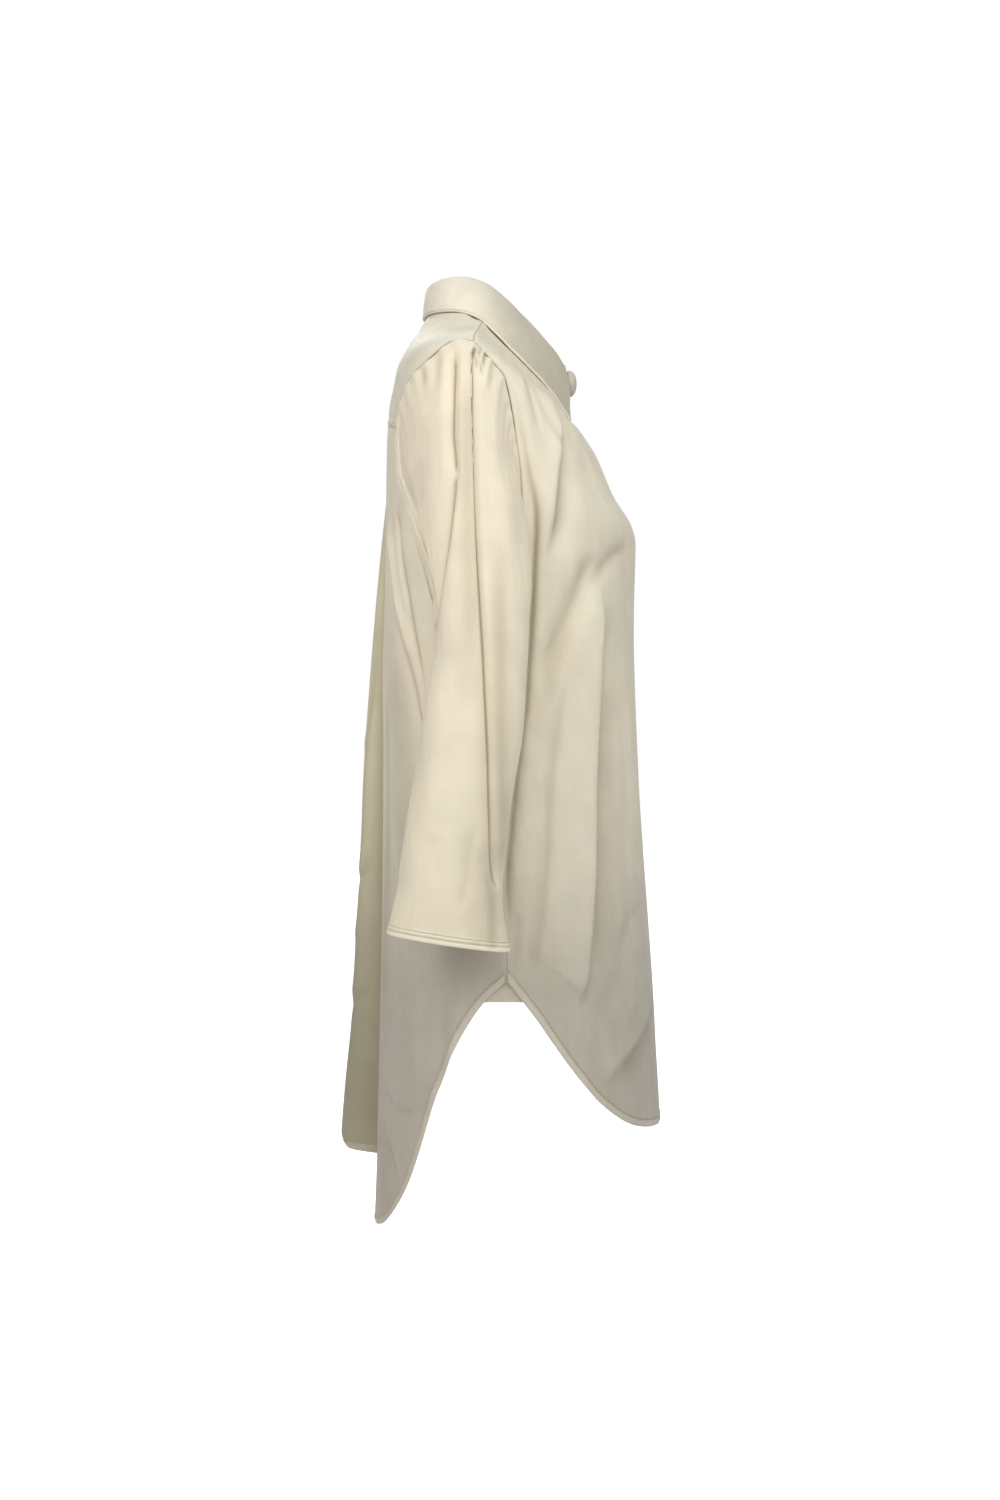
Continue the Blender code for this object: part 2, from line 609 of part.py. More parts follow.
def build_vent_gussets():
    """Flat-bottomed triangle behind the top of each side vent."""
    back = back_places()[-1, :2]
    front = front_places()[-1, :-3:-1]
    top = skin(back[0, 0], back[0, 1])
    back_run = skin(back[1, 0], back[1, 1]) - top
    front_run = skin(front[1, 0], front[1, 1]) - top
    inward = -skin_normal(back[0, 0], back[0, 1])
    rows = []
    for height in np.linspace(top[2] + GUSSET_RISE, GUSSET_BOTTOM, GUSSET_ROWS + 1):
        drop = min(height - top[2], 0.0)
        back_edge = top + back_run * (drop / back_run[2])
        front_edge = top + front_run * (drop / front_run[2])
        back_edge[2] = height
        front_edge[2] = height
        back_edge[1] += GUSSET_TUCK["back"]
        front_edge[1] -= GUSSET_TUCK["front"]
        shares = np.linspace(0, 1, GUSSET_COLUMNS + 1)
        rows.append([back_edge + (front_edge - back_edge) * share for share in shares])
    outer = np.array(rows) + inward * GUSSET_LAYER
    inner = outer + inward * CLOTH
    add_wall("vent_gusset_right", outer, inner, colour=CREPE_SHADE)
    add_wall("vent_gusset_left", mirrored(outer), mirrored(inner), colour=CREPE_SHADE)


# ================================================================ sleeves
def crease_centre(row, height):
    """Where a long crease of the sleeve lies in y at a height."""
    knots = -np.array([row["top"], row["middle"], row["bottom"]])
    return smooth(knots, [row["top_y"], row["middle_y"], row["bottom_y"]], -height)


def crease_turn(turn, height, section):
    """Turns of the sleeve's columns, crowded round the front crease and swung to follow it."""
    row = dict(zip(CREASE_COLUMNS, SLEEVE_CREASES["front crease"]))
    offset = (crease_centre(row, height) - section["centre_y"]) / section["half_y"]
    swing = np.degrees(np.arcsin(np.clip(offset, -1.0, 1.0)))
    crowded = turn - CREASE_CROWD * np.sin(np.radians(turn))
    return crowded + swing * (1 + np.cos(np.radians(turn))) / 2


def sleeve_grid():
    """Outer points of the right sleeve, from the armhole to the hem."""
    upper, lower = back_armhole()
    front = along(ARMHOLE_FRONT, ARMHOLE_FRONT_STEPS)
    loop = np.concatenate([upper, lower[1:], front[-2:0:-1]])
    start = skin(loop[:, 0], loop[:, 1])
    back_steps = ARMHOLE_YOKE_STEPS + ARMHOLE_BACK_STEPS
    turn = np.concatenate([
        np.linspace(0, 180, back_steps + 1),
        np.linspace(180, 360, ARMHOLE_FRONT_STEPS + 1)[1:-1],
    ])
    table = np.array(list(SLEEVE.values()))
    heights = np.linspace(table[0, 0], table[-1, 0], TUBE_ROWS + 1)
    tube = []
    for height in heights:
        section = dict(zip(SLEEVE_COLUMNS, smooth(-table[:, 0], table, -height)))
        angle = np.radians(crease_turn(turn, height, section))
        x = section["centre_x"] - section["half_x"] * np.cos(angle)
        y = section["centre_y"] + section["half_y"] * np.sin(angle)
        tilt = SLEEVE_HEM_TILT * smoothstep(-table[0, 0], -table[-1, 0], -height)
        z = height + tilt * (y - section["centre_y"])
        tube.append(np.stack([x, y, z], 1))
    tube = np.array(tube)

    normal = skin_normal(loop[:, 0], loop[:, 1])
    tangent = unit(np.roll(start, -1, 0) - np.roll(start, 1, 0))
    into_hole = unit(np.cross(normal, tangent))
    middle = start.mean(0)
    facing = np.sign(np.sum(into_hole * (middle - start), axis=1))
    into_hole *= facing[:, None]
    topness = 0.5 + 0.5 * np.cos(np.radians(turn))[:, None]
    outward = np.array([-1.0, 0.0, 0.0])
    direction = unit(outward + into_hole * (CAP_LIFT + (1 - CAP_LIFT) * topness))
    pull = direction * (CAP_PULL_UNDERARM + (CAP_PULL_TOP - CAP_PULL_UNDERARM) * topness ** CAP_PULL_POWER)
    fall = CAP_FALL_UNDERARM + (CAP_FALL_TOP - CAP_FALL_UNDERARM) * topness
    drop = np.array([0.0, 0.0, -1.0]) * fall
    seam_start = start + into_hole * TRIM
    cap = []
    for t in np.linspace(0, 1, CAP_ROWS + 1)[:-1]:
        h00 = 2 * t ** 3 - 3 * t ** 2 + 1
        h10 = t ** 3 - 2 * t ** 2 + t
        h01 = -2 * t ** 3 + 3 * t ** 2
        h11 = t ** 3 - t ** 2
        cap.append(seam_start * h00 + pull * h10 + tube[0] * h01 + drop * h11)
    return np.concatenate([np.array(cap), tube]), turn


def grid_normal(grid, closed):
    """Outward directions of a grid of points."""
    if closed:
        around = np.roll(grid, -1, 1) - np.roll(grid, 1, 1)
    else:
        around = np.gradient(grid, axis=1)
    down = np.gradient(grid, axis=0)
    return unit(np.cross(around, down))


def sleeve_creases(grid, turn):
    """How deep the long creases press into the outer face of the sleeve."""
    facing = smoothstep(-0.1, 0.5, np.cos(np.radians(turn)))[None, :]
    depth = np.zeros(grid.shape[:2])
    y, z = grid[..., 1], grid[..., 2]
    for values in SLEEVE_CREASES.values():
        row = dict(zip(CREASE_COLUMNS, values))
        centre = crease_centre(row, z)
        fade = smoothstep(-row["top"], -row["top"] + CREASE_FADE, -z)
        fade = fade * (1 - smoothstep(-row["bottom"] - CREASE_FADE, -row["bottom"], -z))
        depth += row["depth"] * fade * np.exp(-(((y - centre) / row["width"]) ** 2))
    return depth * facing


def build_sleeves():
    """Set-in sleeves that hang open at the hem."""
    grid, turn = sleeve_grid()
    normal = grid_normal(grid, closed=True)
    normal *= -np.sign(normal[-1, 0, 0])
    outer = grid - normal * sleeve_creases(grid, turn)[..., None]
    inner = outer - normal * CLOTH
    add_wall("sleeve_right", outer, inner, closed=True)
    add_wall("sleeve_left", mirrored(outer), mirrored(inner), closed=True)


# ================================================================ collar and button
def fold_point(angle):
    """Point of the collar's fold at an angle from the centre front, in degrees."""
    turn = np.radians(angle)
    folded = np.where(np.abs(angle) > 180, 360 - np.abs(angle), np.abs(angle))
    ahead = np.cos(turn)
    front_run = -FOLD_RING["front"] - FOLD_RING["side_depth"]
    back_run = FOLD_RING["back"] - FOLD_RING["side_depth"]
    x = -FOLD_RING["half_width"] * np.sin(turn)
    y = FOLD_RING["side_depth"] + np.where(ahead >= 0, front_run, back_run) * np.abs(ahead)
    return np.stack([x, y, read(FOLD_HEIGHT, folded)], -1)


def fold_direction(angle):
    """Direction along the collar's fold."""
    return unit(fold_point(angle + FOLD_STEP) - fold_point(angle - FOLD_STEP))


def outward_on_fold(angle):
    """Level outward direction on the collar's fold."""
    ahead = fold_direction(angle)
    ahead[..., 2] = 0
    return unit(np.cross(np.array([0.0, 0.0, 1.0]), ahead))


def collar_angles():
    """Angles of the columns that the stand and the fall share, right end to left end."""
    front = np.linspace(FALL_EDGE[0][0], 90.0, COLLAR_FRONT_COLUMNS + 1)
    back = np.linspace(90.0, 180.0, COLLAR_BACK_COLUMNS + 1)
    right = np.concatenate([front, back[1:]])
    return np.concatenate([right, 360.0 - right[-2::-1]])


def build_collar_stand():
    """Band round the neckline; its right end laps over the left one."""
    ends = np.array([-STAND_END, 0.0])
    angle = np.concatenate([ends, collar_angles(), 360.0 - ends[::-1]])
    lap = STAND_LAP * smoothstep(*STAND_LAP_RUN, angle)
    foot = bare_skin(angle, np.zeros(angle.shape))
    foot[:, 2] += STAND_GAP
    outward = outward_on_fold(angle)
    head = fold_point(angle) - outward * STAND_IN
    steepness = 1 / np.linalg.norm(fold_direction(angle)[:, :2], axis=1)
    head[:, 2] -= STAND_TOP_DROP * steepness
    share = np.linspace(0, 1, STAND_ROWS + 1)[:, None, None]
    outer = foot * (1 - share) + head * share - outward * lap[:, None]
    inner = outer - outward * COLLAR_CLOTH
    add_wall("collar_stand", outer, inner)


def build_collar_fall():
    """Pointed fall that rolls over the stand, with its edge on the shoulders."""
    table = np.array(FALL_EDGE)
    angle = collar_angles()
    folded = np.where(angle > 180, 360 - angle, angle)
    side = np.where(angle > 180, 1.0, -1.0)
    edge = smooth(table[:, 0], table[:, 1:], folded)
    edge[:, 0] *= side
    fold = fold_point(angle)
    outward = outward_on_fold(angle)
    up = np.array([0.0, 0.0, 1.0])
    rows = [fold + outward * out + up * rise for out, rise in ROLL]
    for share in np.linspace(0, 1, FALL_ROWS + 1)[1:]:
        bow = FALL_BOW * math.sin(math.pi * share)
        rows.append(rows[2] * (1 - share) + edge * share + outward * bow)
    outer = np.array(rows)
    normal = grid_normal(outer, closed=False)
    facing = np.sign(np.sum(normal[3] * outward, axis=-1)).mean()
    inner = outer - normal * facing * COLLAR_CLOTH
    add_wall("collar_fall", outer, inner)


def build_button():
    """Domed covered button on its short shank, over the lapped ends of the stand."""
    builder = bmesh.new()
    centre = np.array(BUTTON_CENTRE)
    rings = []
    for radius, height in BUTTON_PROFILE:
        ring = []
        for i in range(BUTTON_SIDES):
            turn = 2 * math.pi * i / BUTTON_SIDES
            offset = (radius * math.cos(turn), -height, radius * math.sin(turn))
            ring.append(builder.verts.new(centre + offset))
        rings.append(ring)
    for lower, upper in zip(rings, rings[1:]):
        for i in range(BUTTON_SIDES):
            j = (i + 1) % BUTTON_SIDES
            builder.faces.new((lower[i], lower[j], upper[j], upper[i]))
    builder.faces.new(rings[0])
    top = builder.verts.new(centre + (0.0, -BUTTON_TOP, 0.0))
    for i in range(BUTTON_SIDES):
        builder.faces.new((rings[-1][i], rings[-1][(i + 1) % BUTTON_SIDES], top))
    add_object("neck_button", builder, CREPE, BUTTON_ROUGHNESS)


def main():
    """Clear the scene and build every piece."""
    for item in list(bpy.data.objects):
        bpy.data.objects.remove(item, do_unlink=True)
    build_fronts()
    build_yoke()
    build_back()
    build_vent_gussets()
    build_sleeves()
    build_collar_stand()
    build_collar_fall()
    build_button()


main()
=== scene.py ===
"""Button-up shirt in cream crepe, filled out as when worn: the dressed model.

Metres, +Z up.  The front faces -Y, the wearer's right side is -X and the origin is the
middle of the neck.  A place on the body is an angle (0 centre front, 90 the wearer's right
side, 180 centre back) and a ring number that counts down from the neckline.  Creases are
listed in millimetres.
"""
import logging
import math
from dataclasses import dataclass, field, replace
from enum import Enum
from typing import Sequence

import bmesh
import bpy
import numpy as np
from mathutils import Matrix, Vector


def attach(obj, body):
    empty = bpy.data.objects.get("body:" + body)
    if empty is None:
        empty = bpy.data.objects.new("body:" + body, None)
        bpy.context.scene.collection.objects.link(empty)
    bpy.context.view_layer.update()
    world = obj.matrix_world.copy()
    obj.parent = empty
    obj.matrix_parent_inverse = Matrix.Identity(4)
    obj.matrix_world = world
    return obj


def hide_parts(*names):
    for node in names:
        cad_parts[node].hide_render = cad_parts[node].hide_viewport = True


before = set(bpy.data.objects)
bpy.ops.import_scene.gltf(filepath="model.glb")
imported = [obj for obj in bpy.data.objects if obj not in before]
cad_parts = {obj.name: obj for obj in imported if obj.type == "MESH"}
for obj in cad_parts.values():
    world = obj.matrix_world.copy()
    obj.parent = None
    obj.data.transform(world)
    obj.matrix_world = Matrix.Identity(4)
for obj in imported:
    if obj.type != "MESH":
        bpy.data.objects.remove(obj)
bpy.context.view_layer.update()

Array = np.ndarray
Thing = bpy.types.Object
Material = bpy.types.Material
Tree = bpy.types.NodeTree
Node = bpy.types.Node
Socket = bpy.types.NodeSocket
Table = tuple[tuple[float, ...], ...]
Pair = tuple[float, float]
Colour = tuple[float, float, float]
LOG = logging.getLogger("shirt")

BODY_NAME = "root"
MM = 0.001
UP = np.array([0.0, 0.0, 1.0])
OUT_RIGHT = np.array([-1.0, 0.0, 0.0])
CLOTH = 0.001              # thickness of the crepe
LAYER = 0.0017              # depth of a layer of cloth that lies close under another
LOOSE_LAYER = 0.0022        # depth of a layer that hangs free
SEAM_TRIM = 0.00006         # gap between the edges of two joined pieces
HEM_REACH = 0.006           # how far from an edge the columns' slant is measured
PAINTED_SHADE_NARROWING = 2.0            # how much narrower the painted shade of a crease is than its lift
TINY = 1e-9                 # keeps distances rising where two points meet


# ==== curves and small maths
def smooth(knots: Sequence[float], values: Sequence, at: Array) -> Array:
    """Smooth curve through a table, with no overshoot between its rows.

    Args:
        knots: rising values of the table's first column.
        values: one value or one row of values for each knot.
        at: where the curve is read.

    Returns:
        The curve's values, with the shape of at and then that of a row.
    """
    knots = np.asarray(knots, float)
    values = np.asarray(values, float)
    at = np.clip(np.asarray(at, float), knots[0], knots[-1])
    if values.ndim == 1:
        return smooth(knots, values[:, None], at)[..., 0]
    step = np.diff(knots)[:, None]
    rate = np.diff(values, axis=0) / step
    slope = np.zeros_like(values)
    slope[0], slope[-1] = rate[0], rate[-1]
    before, after = rate[:-1], rate[1:]
    same = before * after > 0
    weight_before = 2 * step[1:] + step[:-1]
    weight_after = step[1:] + 2 * step[:-1]
    share = weight_before / np.where(same, before, 1.0) + weight_after / np.where(same, after, 1.0)
    slope[1:-1] = np.where(same, (weight_before + weight_after) / share, 0.0)
    i = np.clip(np.searchsorted(knots, at, side="right") - 1, 0, len(knots) - 2)
    span = step[i, 0][..., None]
    t = (at - knots[i])[..., None] / span
    rise = t * t * (3 - 2 * t)
    lead = t * (1 - t) ** 2 * span
    trail = t * t * (1 - t) * span
    return values[i] * (1 - rise) + values[i + 1] * rise + slope[i] * lead - slope[i + 1] * trail


def read(rows: Sequence[Pair], at: Array) -> Array:
    """Second column of a two-column table at a value of its first column."""
    table = np.array(sorted(rows))
    return smooth(table[:, 0], table[:, 1], at)


def smoothstep(low: float, high: float, value: Array) -> Array:
    """0 below low, 1 above high and a soft ramp between them."""
    t = np.clip((np.asarray(value, float) - low) / (high - low), 0.0, 1.0)
    return t * t * (3 - 2 * t)


def unit(vectors: Array) -> Array:
    """The same directions with length 1."""
    return vectors / np.maximum(np.linalg.norm(vectors, axis=-1, keepdims=True), 1e-12)


def mirrored(points: Array) -> Array:
    """The same points on the wearer's other side."""
    return points * np.array([-1.0, 1.0, 1.0])


def run_length(points: Array, axis: int) -> Array:
    """Distance along the lines of a grid, from their first point.

    Args:
        points: grid of points, rows by columns by 3.
        axis: 0 to measure down the columns, 1 to measure along the rows.

    Returns:
        The distance at each point of the grid.
    """
    steps = np.linalg.norm(np.diff(points, axis=axis), axis=-1)
    total = np.cumsum(steps, axis=axis)
    shape = list(total.shape)
    shape[axis] = 1
    return np.concatenate([np.zeros(shape), total], axis=axis)


def sampled(at: Array, length: Array, rows: Array) -> Array:
    """Rows of values read at distances along a line."""
    return np.stack([np.interp(at, length, column) for column in rows.T], 1)


def faired(values: Array, rounds: int) -> Array:
    """Even out a line of values, with its two ends kept."""
    for _ in range(rounds):
        values[1:-1] = (values[:-2] + 2 * values[1:-1] + values[2:]) / 4
    return values


def grid_normal(grid: Array, closed: bool = False) -> Array:
    """Directions square to a grid of points; closed joins the last column to the first."""
    around = np.roll(grid, -1, 1) - np.roll(grid, 1, 1) if closed else np.gradient(grid, axis=1)
    return unit(np.cross(around, np.gradient(grid, axis=0)))


def wall_facing(outer: Array, normal: Array, closed: bool = False) -> Array:
    """Directions square to a creased wall, on the side that normal points to."""
    facing = grid_normal(outer, closed)
    return facing * np.sign(np.sum(facing * normal, -1, keepdims=True))


def wound_inward(outer: Array, normal: Array) -> bool:
    """Whether the faces of a grid would look away from normal."""
    corner = np.cross(outer[1, 1] - outer[0, 1], outer[0, 1] - outer[0, 0])
    return bool(np.sum(corner * normal[0, 0]) < 0)


# ==== creases
class Side(Enum):
    """The wearer's two sides; the value is the seed that makes them differ."""

    RIGHT = 3
    LEFT = 11

    def named(self, piece: str) -> str:
        """Name of this side's piece of a pair."""
        return f"{piece}_{self.name.lower()}"


class Rim(Enum):
    """The four edges of a grid of points: rows run down, columns run to the right."""

    TOP = 0
    BOTTOM = 1
    LEFT = 2
    RIGHT = 3

    def line(self, number: int) -> tuple:
        """Index of a mesh line, counted from this edge."""
        return (
            np.s_[number, :], np.s_[-1 - number, :], np.s_[:, number], np.s_[:, -1 - number],
        )[self.value]


class Held(Enum):
    """How a piece of cloth is held; each sheet keeps it, but nothing here reads it."""

    HUNG = "hung"
    FOLDED = "folded"
    STRETCHED = "stretched"


@dataclass(frozen=True)
class Crease:
    """One ridge or trough along a smooth line.

    The path runs downwards through points (across, height).  Before is the width on the
    side of smaller across, after the width on the other side: a small width is a sharp side.
    Power is 2 for a round bottom and near 1 for a sharp one.  Start and end are the shares
    of its length over which it fades in and out, and shade is how dark the shade painted
    along it is, standing in for the shadow in the fold.
    """

    path: Table
    lift: float
    before: float
    after: float
    start: float = 0.22
    end: float = 0.22
    power: float = 2.0
    shade: float = 0.0
    steps: int = 30

    def relief(self, across: Array, height: Array) -> tuple[Array, Array]:
        """How far the crease lifts the cloth at each place, and the shade painted there.

        Args:
            across, height: places on the cloth, in metres.

        Returns:
            The lift in metres, and the depth of painted shade.
        """
        table = np.array(self.path)
        chord = run_length(table, 0)
        line = smooth(chord, table, np.linspace(0, chord[-1], self.steps + 1))
        reach = 3 * max(self.before, self.after)
        place = np.stack([across, height], -1)
        near = ((place > line.min(0) - reach) & (place < line.max(0) + reach)).all(-1)
        lift, tone = np.zeros(across.shape), np.zeros(across.shape)
        if not near.any():
            return lift, tone
        x, y = across[near][:, None], height[near][:, None]
        (start_x, start_y), (step_x, step_y) = line[:-1].T, np.diff(line, axis=0).T
        t = np.clip(((x - start_x) * step_x + (y - start_y) * step_y) / (step_x ** 2 + step_y ** 2), 0, 1)
        off_x, off_y = x - start_x - t * step_x, y - start_y - t * step_y
        gap = off_x ** 2 + off_y ** 2
        found = np.arange(len(x)), gap.argmin(1)
        run = (found[1] + t[found]) / self.steps
        width = np.where((step_x * off_y - step_y * off_x)[found] > 0, self.after, self.before)
        ends = smoothstep(0.0, self.start, run) * smoothstep(0.0, self.end, 1 - run)
        share = np.sqrt(gap[found]) / width
        lift[near] = self.lift * ends * np.exp(-share ** self.power)
        tone[near] = self.shade * ends * np.exp(-(PAINTED_SHADE_NARROWING * share) ** 2)
        return lift, tone


def crease(path: Sequence[Pair], lift: float, before: float, after: float,
           **finish: float) -> Crease:
    """Crease with its path, lift and widths given in millimetres."""
    line = tuple((across * MM, height * MM) for across, height in path)
    return Crease(line, lift * MM, before * MM, after * MM, **finish)


@dataclass(frozen=True)
class Ripple:
    """Small uneven waves that every hanging cloth has."""

    height: float = 0.0003
    across: float = 0.032
    along: float = 0.24
    waves: int = 9

    def relief(self, across: Array, height: Array, seed: int) -> Array:
        """How far the waves lift the cloth at each place.

        Args:
            across, height: places on the cloth, in metres.
            seed: start of the random draws.

        Returns:
            The lift in metres.
        """
        draw = np.random.default_rng(seed)
        lift = np.zeros(across.shape)
        for _ in range(self.waves):
            turn_across = 2 * math.pi / (self.across * draw.uniform(0.6, 2.4))
            turn_along = 2 * math.pi / (self.along * draw.uniform(0.6, 2.4))
            start, lean = draw.uniform(0, 2 * math.pi), draw.choice([-1.0, 1.0])
            lift += np.sin(across * turn_across + lean * height * turn_along + start)
        return lift * self.height / math.sqrt(self.waves)


@dataclass(frozen=True)
class Relief:
    """The creases and waves of one piece."""

    creases: tuple[Crease, ...] = ()
    ripple: Ripple = Ripple()
    wander: float = 0.006

    def at(self, across: Array, height: Array, side: Side, salt: int = 0) -> tuple[Array, Array]:
        """How far the cloth is lifted at each place, and the depth of shade painted there.

        Args:
            across: distance round the piece.
            height: height of the place.
            side: which side of the wearer the piece is on; the left differs a little.
            salt: a number of the piece's own.

        Returns:
            The lift at each place, and the depth of painted shade from 0 to 1.
        """
        seed = side.value * 100 + salt
        lift = self.ripple.relief(across, height, seed)
        tone = np.zeros(across.shape)
        if side is Side.LEFT:
            drift = Ripple(self.wander, 0.25, 0.35, 5)
            across = across + drift.relief(across, height, seed + 1)
            height = height + drift.relief(across, height, seed + 2)
        draw = np.random.default_rng(seed + 3)
        for crease in self.creases:
            strength = 1.0 if side is Side.RIGHT else draw.uniform(0.65, 1.15)
            added, shade = crease.relief(across, height)
            lift = lift + strength * added
            tone = np.maximum(tone, strength * shade)
        return lift, np.clip(tone, 0, 1)


# ==== hems and seams
@dataclass(frozen=True)
class Edge:
    """How a piece is finished along an edge: distance from the edge and lift there.

    Sewn are the numbers of the profile's rows that carry stitches, width is that of the
    doubled cloth, tone how much lighter it looks and seam how dark the shade painted in the
    join is; the stitched grooves get painted shade as well.
    """

    profile: Table
    sewn: tuple[int, ...] = ()
    width: float = 0.0
    tone: float = 0.0
    seam: float = 0.0
    groove_painted_shade: float = 0.3
    groove_width: float = 0.0009
    seam_width: float = 0.002

    @property
    def lines(self) -> Array:
        """Distances at which the mesh needs a line."""
        return np.array([distance for distance, _ in self.profile])

    def relief(self, distance: Array) -> Array:
        """Lift at a distance from the edge."""
        table = np.array(self.profile)
        return np.interp(distance, table[:, 0], table[:, 1])

    def band(self, distance: Array) -> Array:
        """1 on the doubled cloth and 0 beyond it."""
        return 1 - smoothstep(self.width - 0.0006, self.width + 0.0006, distance)

    def dark(self, distance: Array) -> Array:
        """Depth of the shade painted in the join and in the stitched grooves."""
        tone = self.seam * (1 - smoothstep(0.0, self.seam_width, distance))
        for number in self.sewn:
            off = (distance - self.profile[number][0]) / self.groove_width
            tone = np.maximum(tone, self.groove_painted_shade * np.exp(-off ** 2))
        return tone

    def mark(self, marks: Array, distance: Array) -> Array:
        """Write the edge's tones at each point's distance into marks, and give its lift.

        Args:
            marks: the grid's tones, changed in place.
            distance: distance of each point from the edge, in metres.

        Returns:
            The lift in metres.
        """
        marks[..., 0] = np.maximum(marks[..., 0], self.tone * self.band(distance))
        marks[..., 1] = np.maximum(marks[..., 1], self.dark(distance))
        return self.relief(distance)


def hem(width: float, puff: float = 0.0005, groove: float = 0.00045, rows: int = 1, tone: float = 0.3,
        dark: float = 0.6) -> Edge:
    """Narrow turned hem, with one row of stitching at its inner edge or a second one nearer.

    Args:
        width: width of the fold.
        puff: how far the fold stands up.
        groove: depth of the stitched groove.
        rows: places of the stitch rows.
        tone: tone of the fold.
        dark: depth of the shade painted in the groove.

    Returns:
        The edge.
    """
    half = width * 0.5
    return Edge((
        (0.0, -0.00035), (0.0005, puff * 0.5), (0.0014, puff),
        (half - 0.0007, puff), (half, puff if rows == 1 else -groove * 0.6), (half + 0.0007, puff),
        (width - 0.0013, puff), (width - 0.0006, -groove), (width + 0.0001, puff * 0.4),
        (width + 0.0006, 0.0), (width + 0.0025, 0.0),
    ), (7,) if rows == 1 else (4, 7), width, tone, groove_painted_shade=dark)


# height of the collar's lower edge by distance from the front to the back of the neck
COLLAR_LINE = ((-0.0735, -0.0915), (-0.038, -0.054), (0.0, -0.017), (0.019, 0.0), (0.079, 0.014))
PAINTED_DIM_DEPTHS = (0.42, 0.68)     # depths between which the body is painted dimmer: painted shade towards the bottom
PLAIN_SEAM = Edge(
    ((0.0, -0.0003), (0.0008, 0.0003), (0.002, 0.0007), (0.004, 0.0006), (0.009, 0.0)), seam=0.35,
)
SHOULDER_SEAM = Edge(PLAIN_SEAM.profile, seam=0.8)
BODY_HEM = hem(0.0074)
SLEEVE_HEM = hem(0.0085, puff=0.0007, rows=2, tone=0.8, dark=0.4)
FREE_EDGE = hem(0.005, tone=0.05, dark=0.3)
# felled armhole seam: band painted lighter, partly doubled cloth and partly painted light on the shaded cap
ARMHOLE_FELL = Edge((
    (0, -0.0005), (0.0008, 0.001), (0.0018, -0.0006), (0.003, 0.001), (0.0054, 0.001), (0.0064, -0.0006),
    (0.0074, 0.001), (0.0102, 0.001), (0.0114, -0.0008), (0.0126, 0.0008), (0.0136, 0), (0.016, 0),
), (2, 5, 8), 0.0132, 1.0, 0.5, 0.4, 0.001)
YOKE_FELL = Edge((
    (0, -0.0002), (0.0005, 0.00036), (0.0012, -0.0004), (0.0019, 0.00045), (0.0044, 0.00045),
    (0.0051, -0.0004), (0.0058, 0.00036), (0.0064, 0), (0.0087, 0),
), (2, 5), 0.0062, 0.2, 0.5)
COLLAR_EDGE = hem(0.0032, puff=0.0003, groove=0.00035, tone=1.0, dark=0.3)


def squareness(points: Array) -> Array:
    """How squarely each column leaves the top of a grid: 1 at a right angle, less at a slant."""
    length = run_length(points, 0)
    near = np.where(length[-1] > HEM_REACH, np.argmax(length > HEM_REACH, axis=0), -1)
    away = unit(points[near, np.arange(points.shape[1])] - points[0])
    share = np.linalg.norm(np.cross(away, unit(np.gradient(points[0], axis=0))), axis=-1)
    return np.clip(faired(share, 8), 0.3, 1.0)


def respaced(places: Array, points: Array, rim: Rim, lines: Array, slanted: bool = True) -> Array:
    """Move the mesh lines next to one edge to exact distances from it.

    Args:
        places: grid of values to move along, rows by columns by n.
        points: the grid's points.
        rim: the edge.
        lines: distances from the edge of its new lines, from 0.
        slanted: whether the lines make up for columns that meet the edge at a slant.

    Returns:
        The new grid of values, with the same number of lines and more at the edge.
    """
    if rim in (Rim.LEFT, Rim.RIGHT):
        turned = Rim.TOP if rim is Rim.LEFT else Rim.BOTTOM
        return respaced(places.swapaxes(0, 1), points.swapaxes(0, 1), turned, lines, False).swapaxes(0, 1)
    if rim is Rim.BOTTOM:
        return respaced(places[::-1], points[::-1], Rim.TOP, lines, slanted)[::-1]
    shares = squareness(points) if slanted else np.ones(points.shape[1])
    made = []
    for column, run, share in zip(places.swapaxes(0, 1), run_length(points, 0).T, shares):
        half, near = run[-1] / 2, lines / share
        rest = np.where(run < half, near[-1] + run * (half - near[-1]) / half, run)
        made.append(smooth(run + np.arange(len(run)) * TINY, column, np.concatenate([near[:-1], rest])))
    return np.stack(made, 1)


def edge_distance(points: Array, rim: Rim) -> Array:
    """Distance of each point of a grid from one of its edges.

    Args:
        points: the grid.
        rim: the edge that is measured from.

    Returns:
        The distance in metres, along the cloth.
    """
    if rim is Rim.LEFT:
        return run_length(points, 1)
    if rim is Rim.RIGHT:
        return run_length(points[:, ::-1], 1)[:, ::-1]
    if rim is Rim.BOTTOM:
        return edge_distance(points[::-1], Rim.TOP)[::-1]
    return run_length(points, 0) * squareness(points)


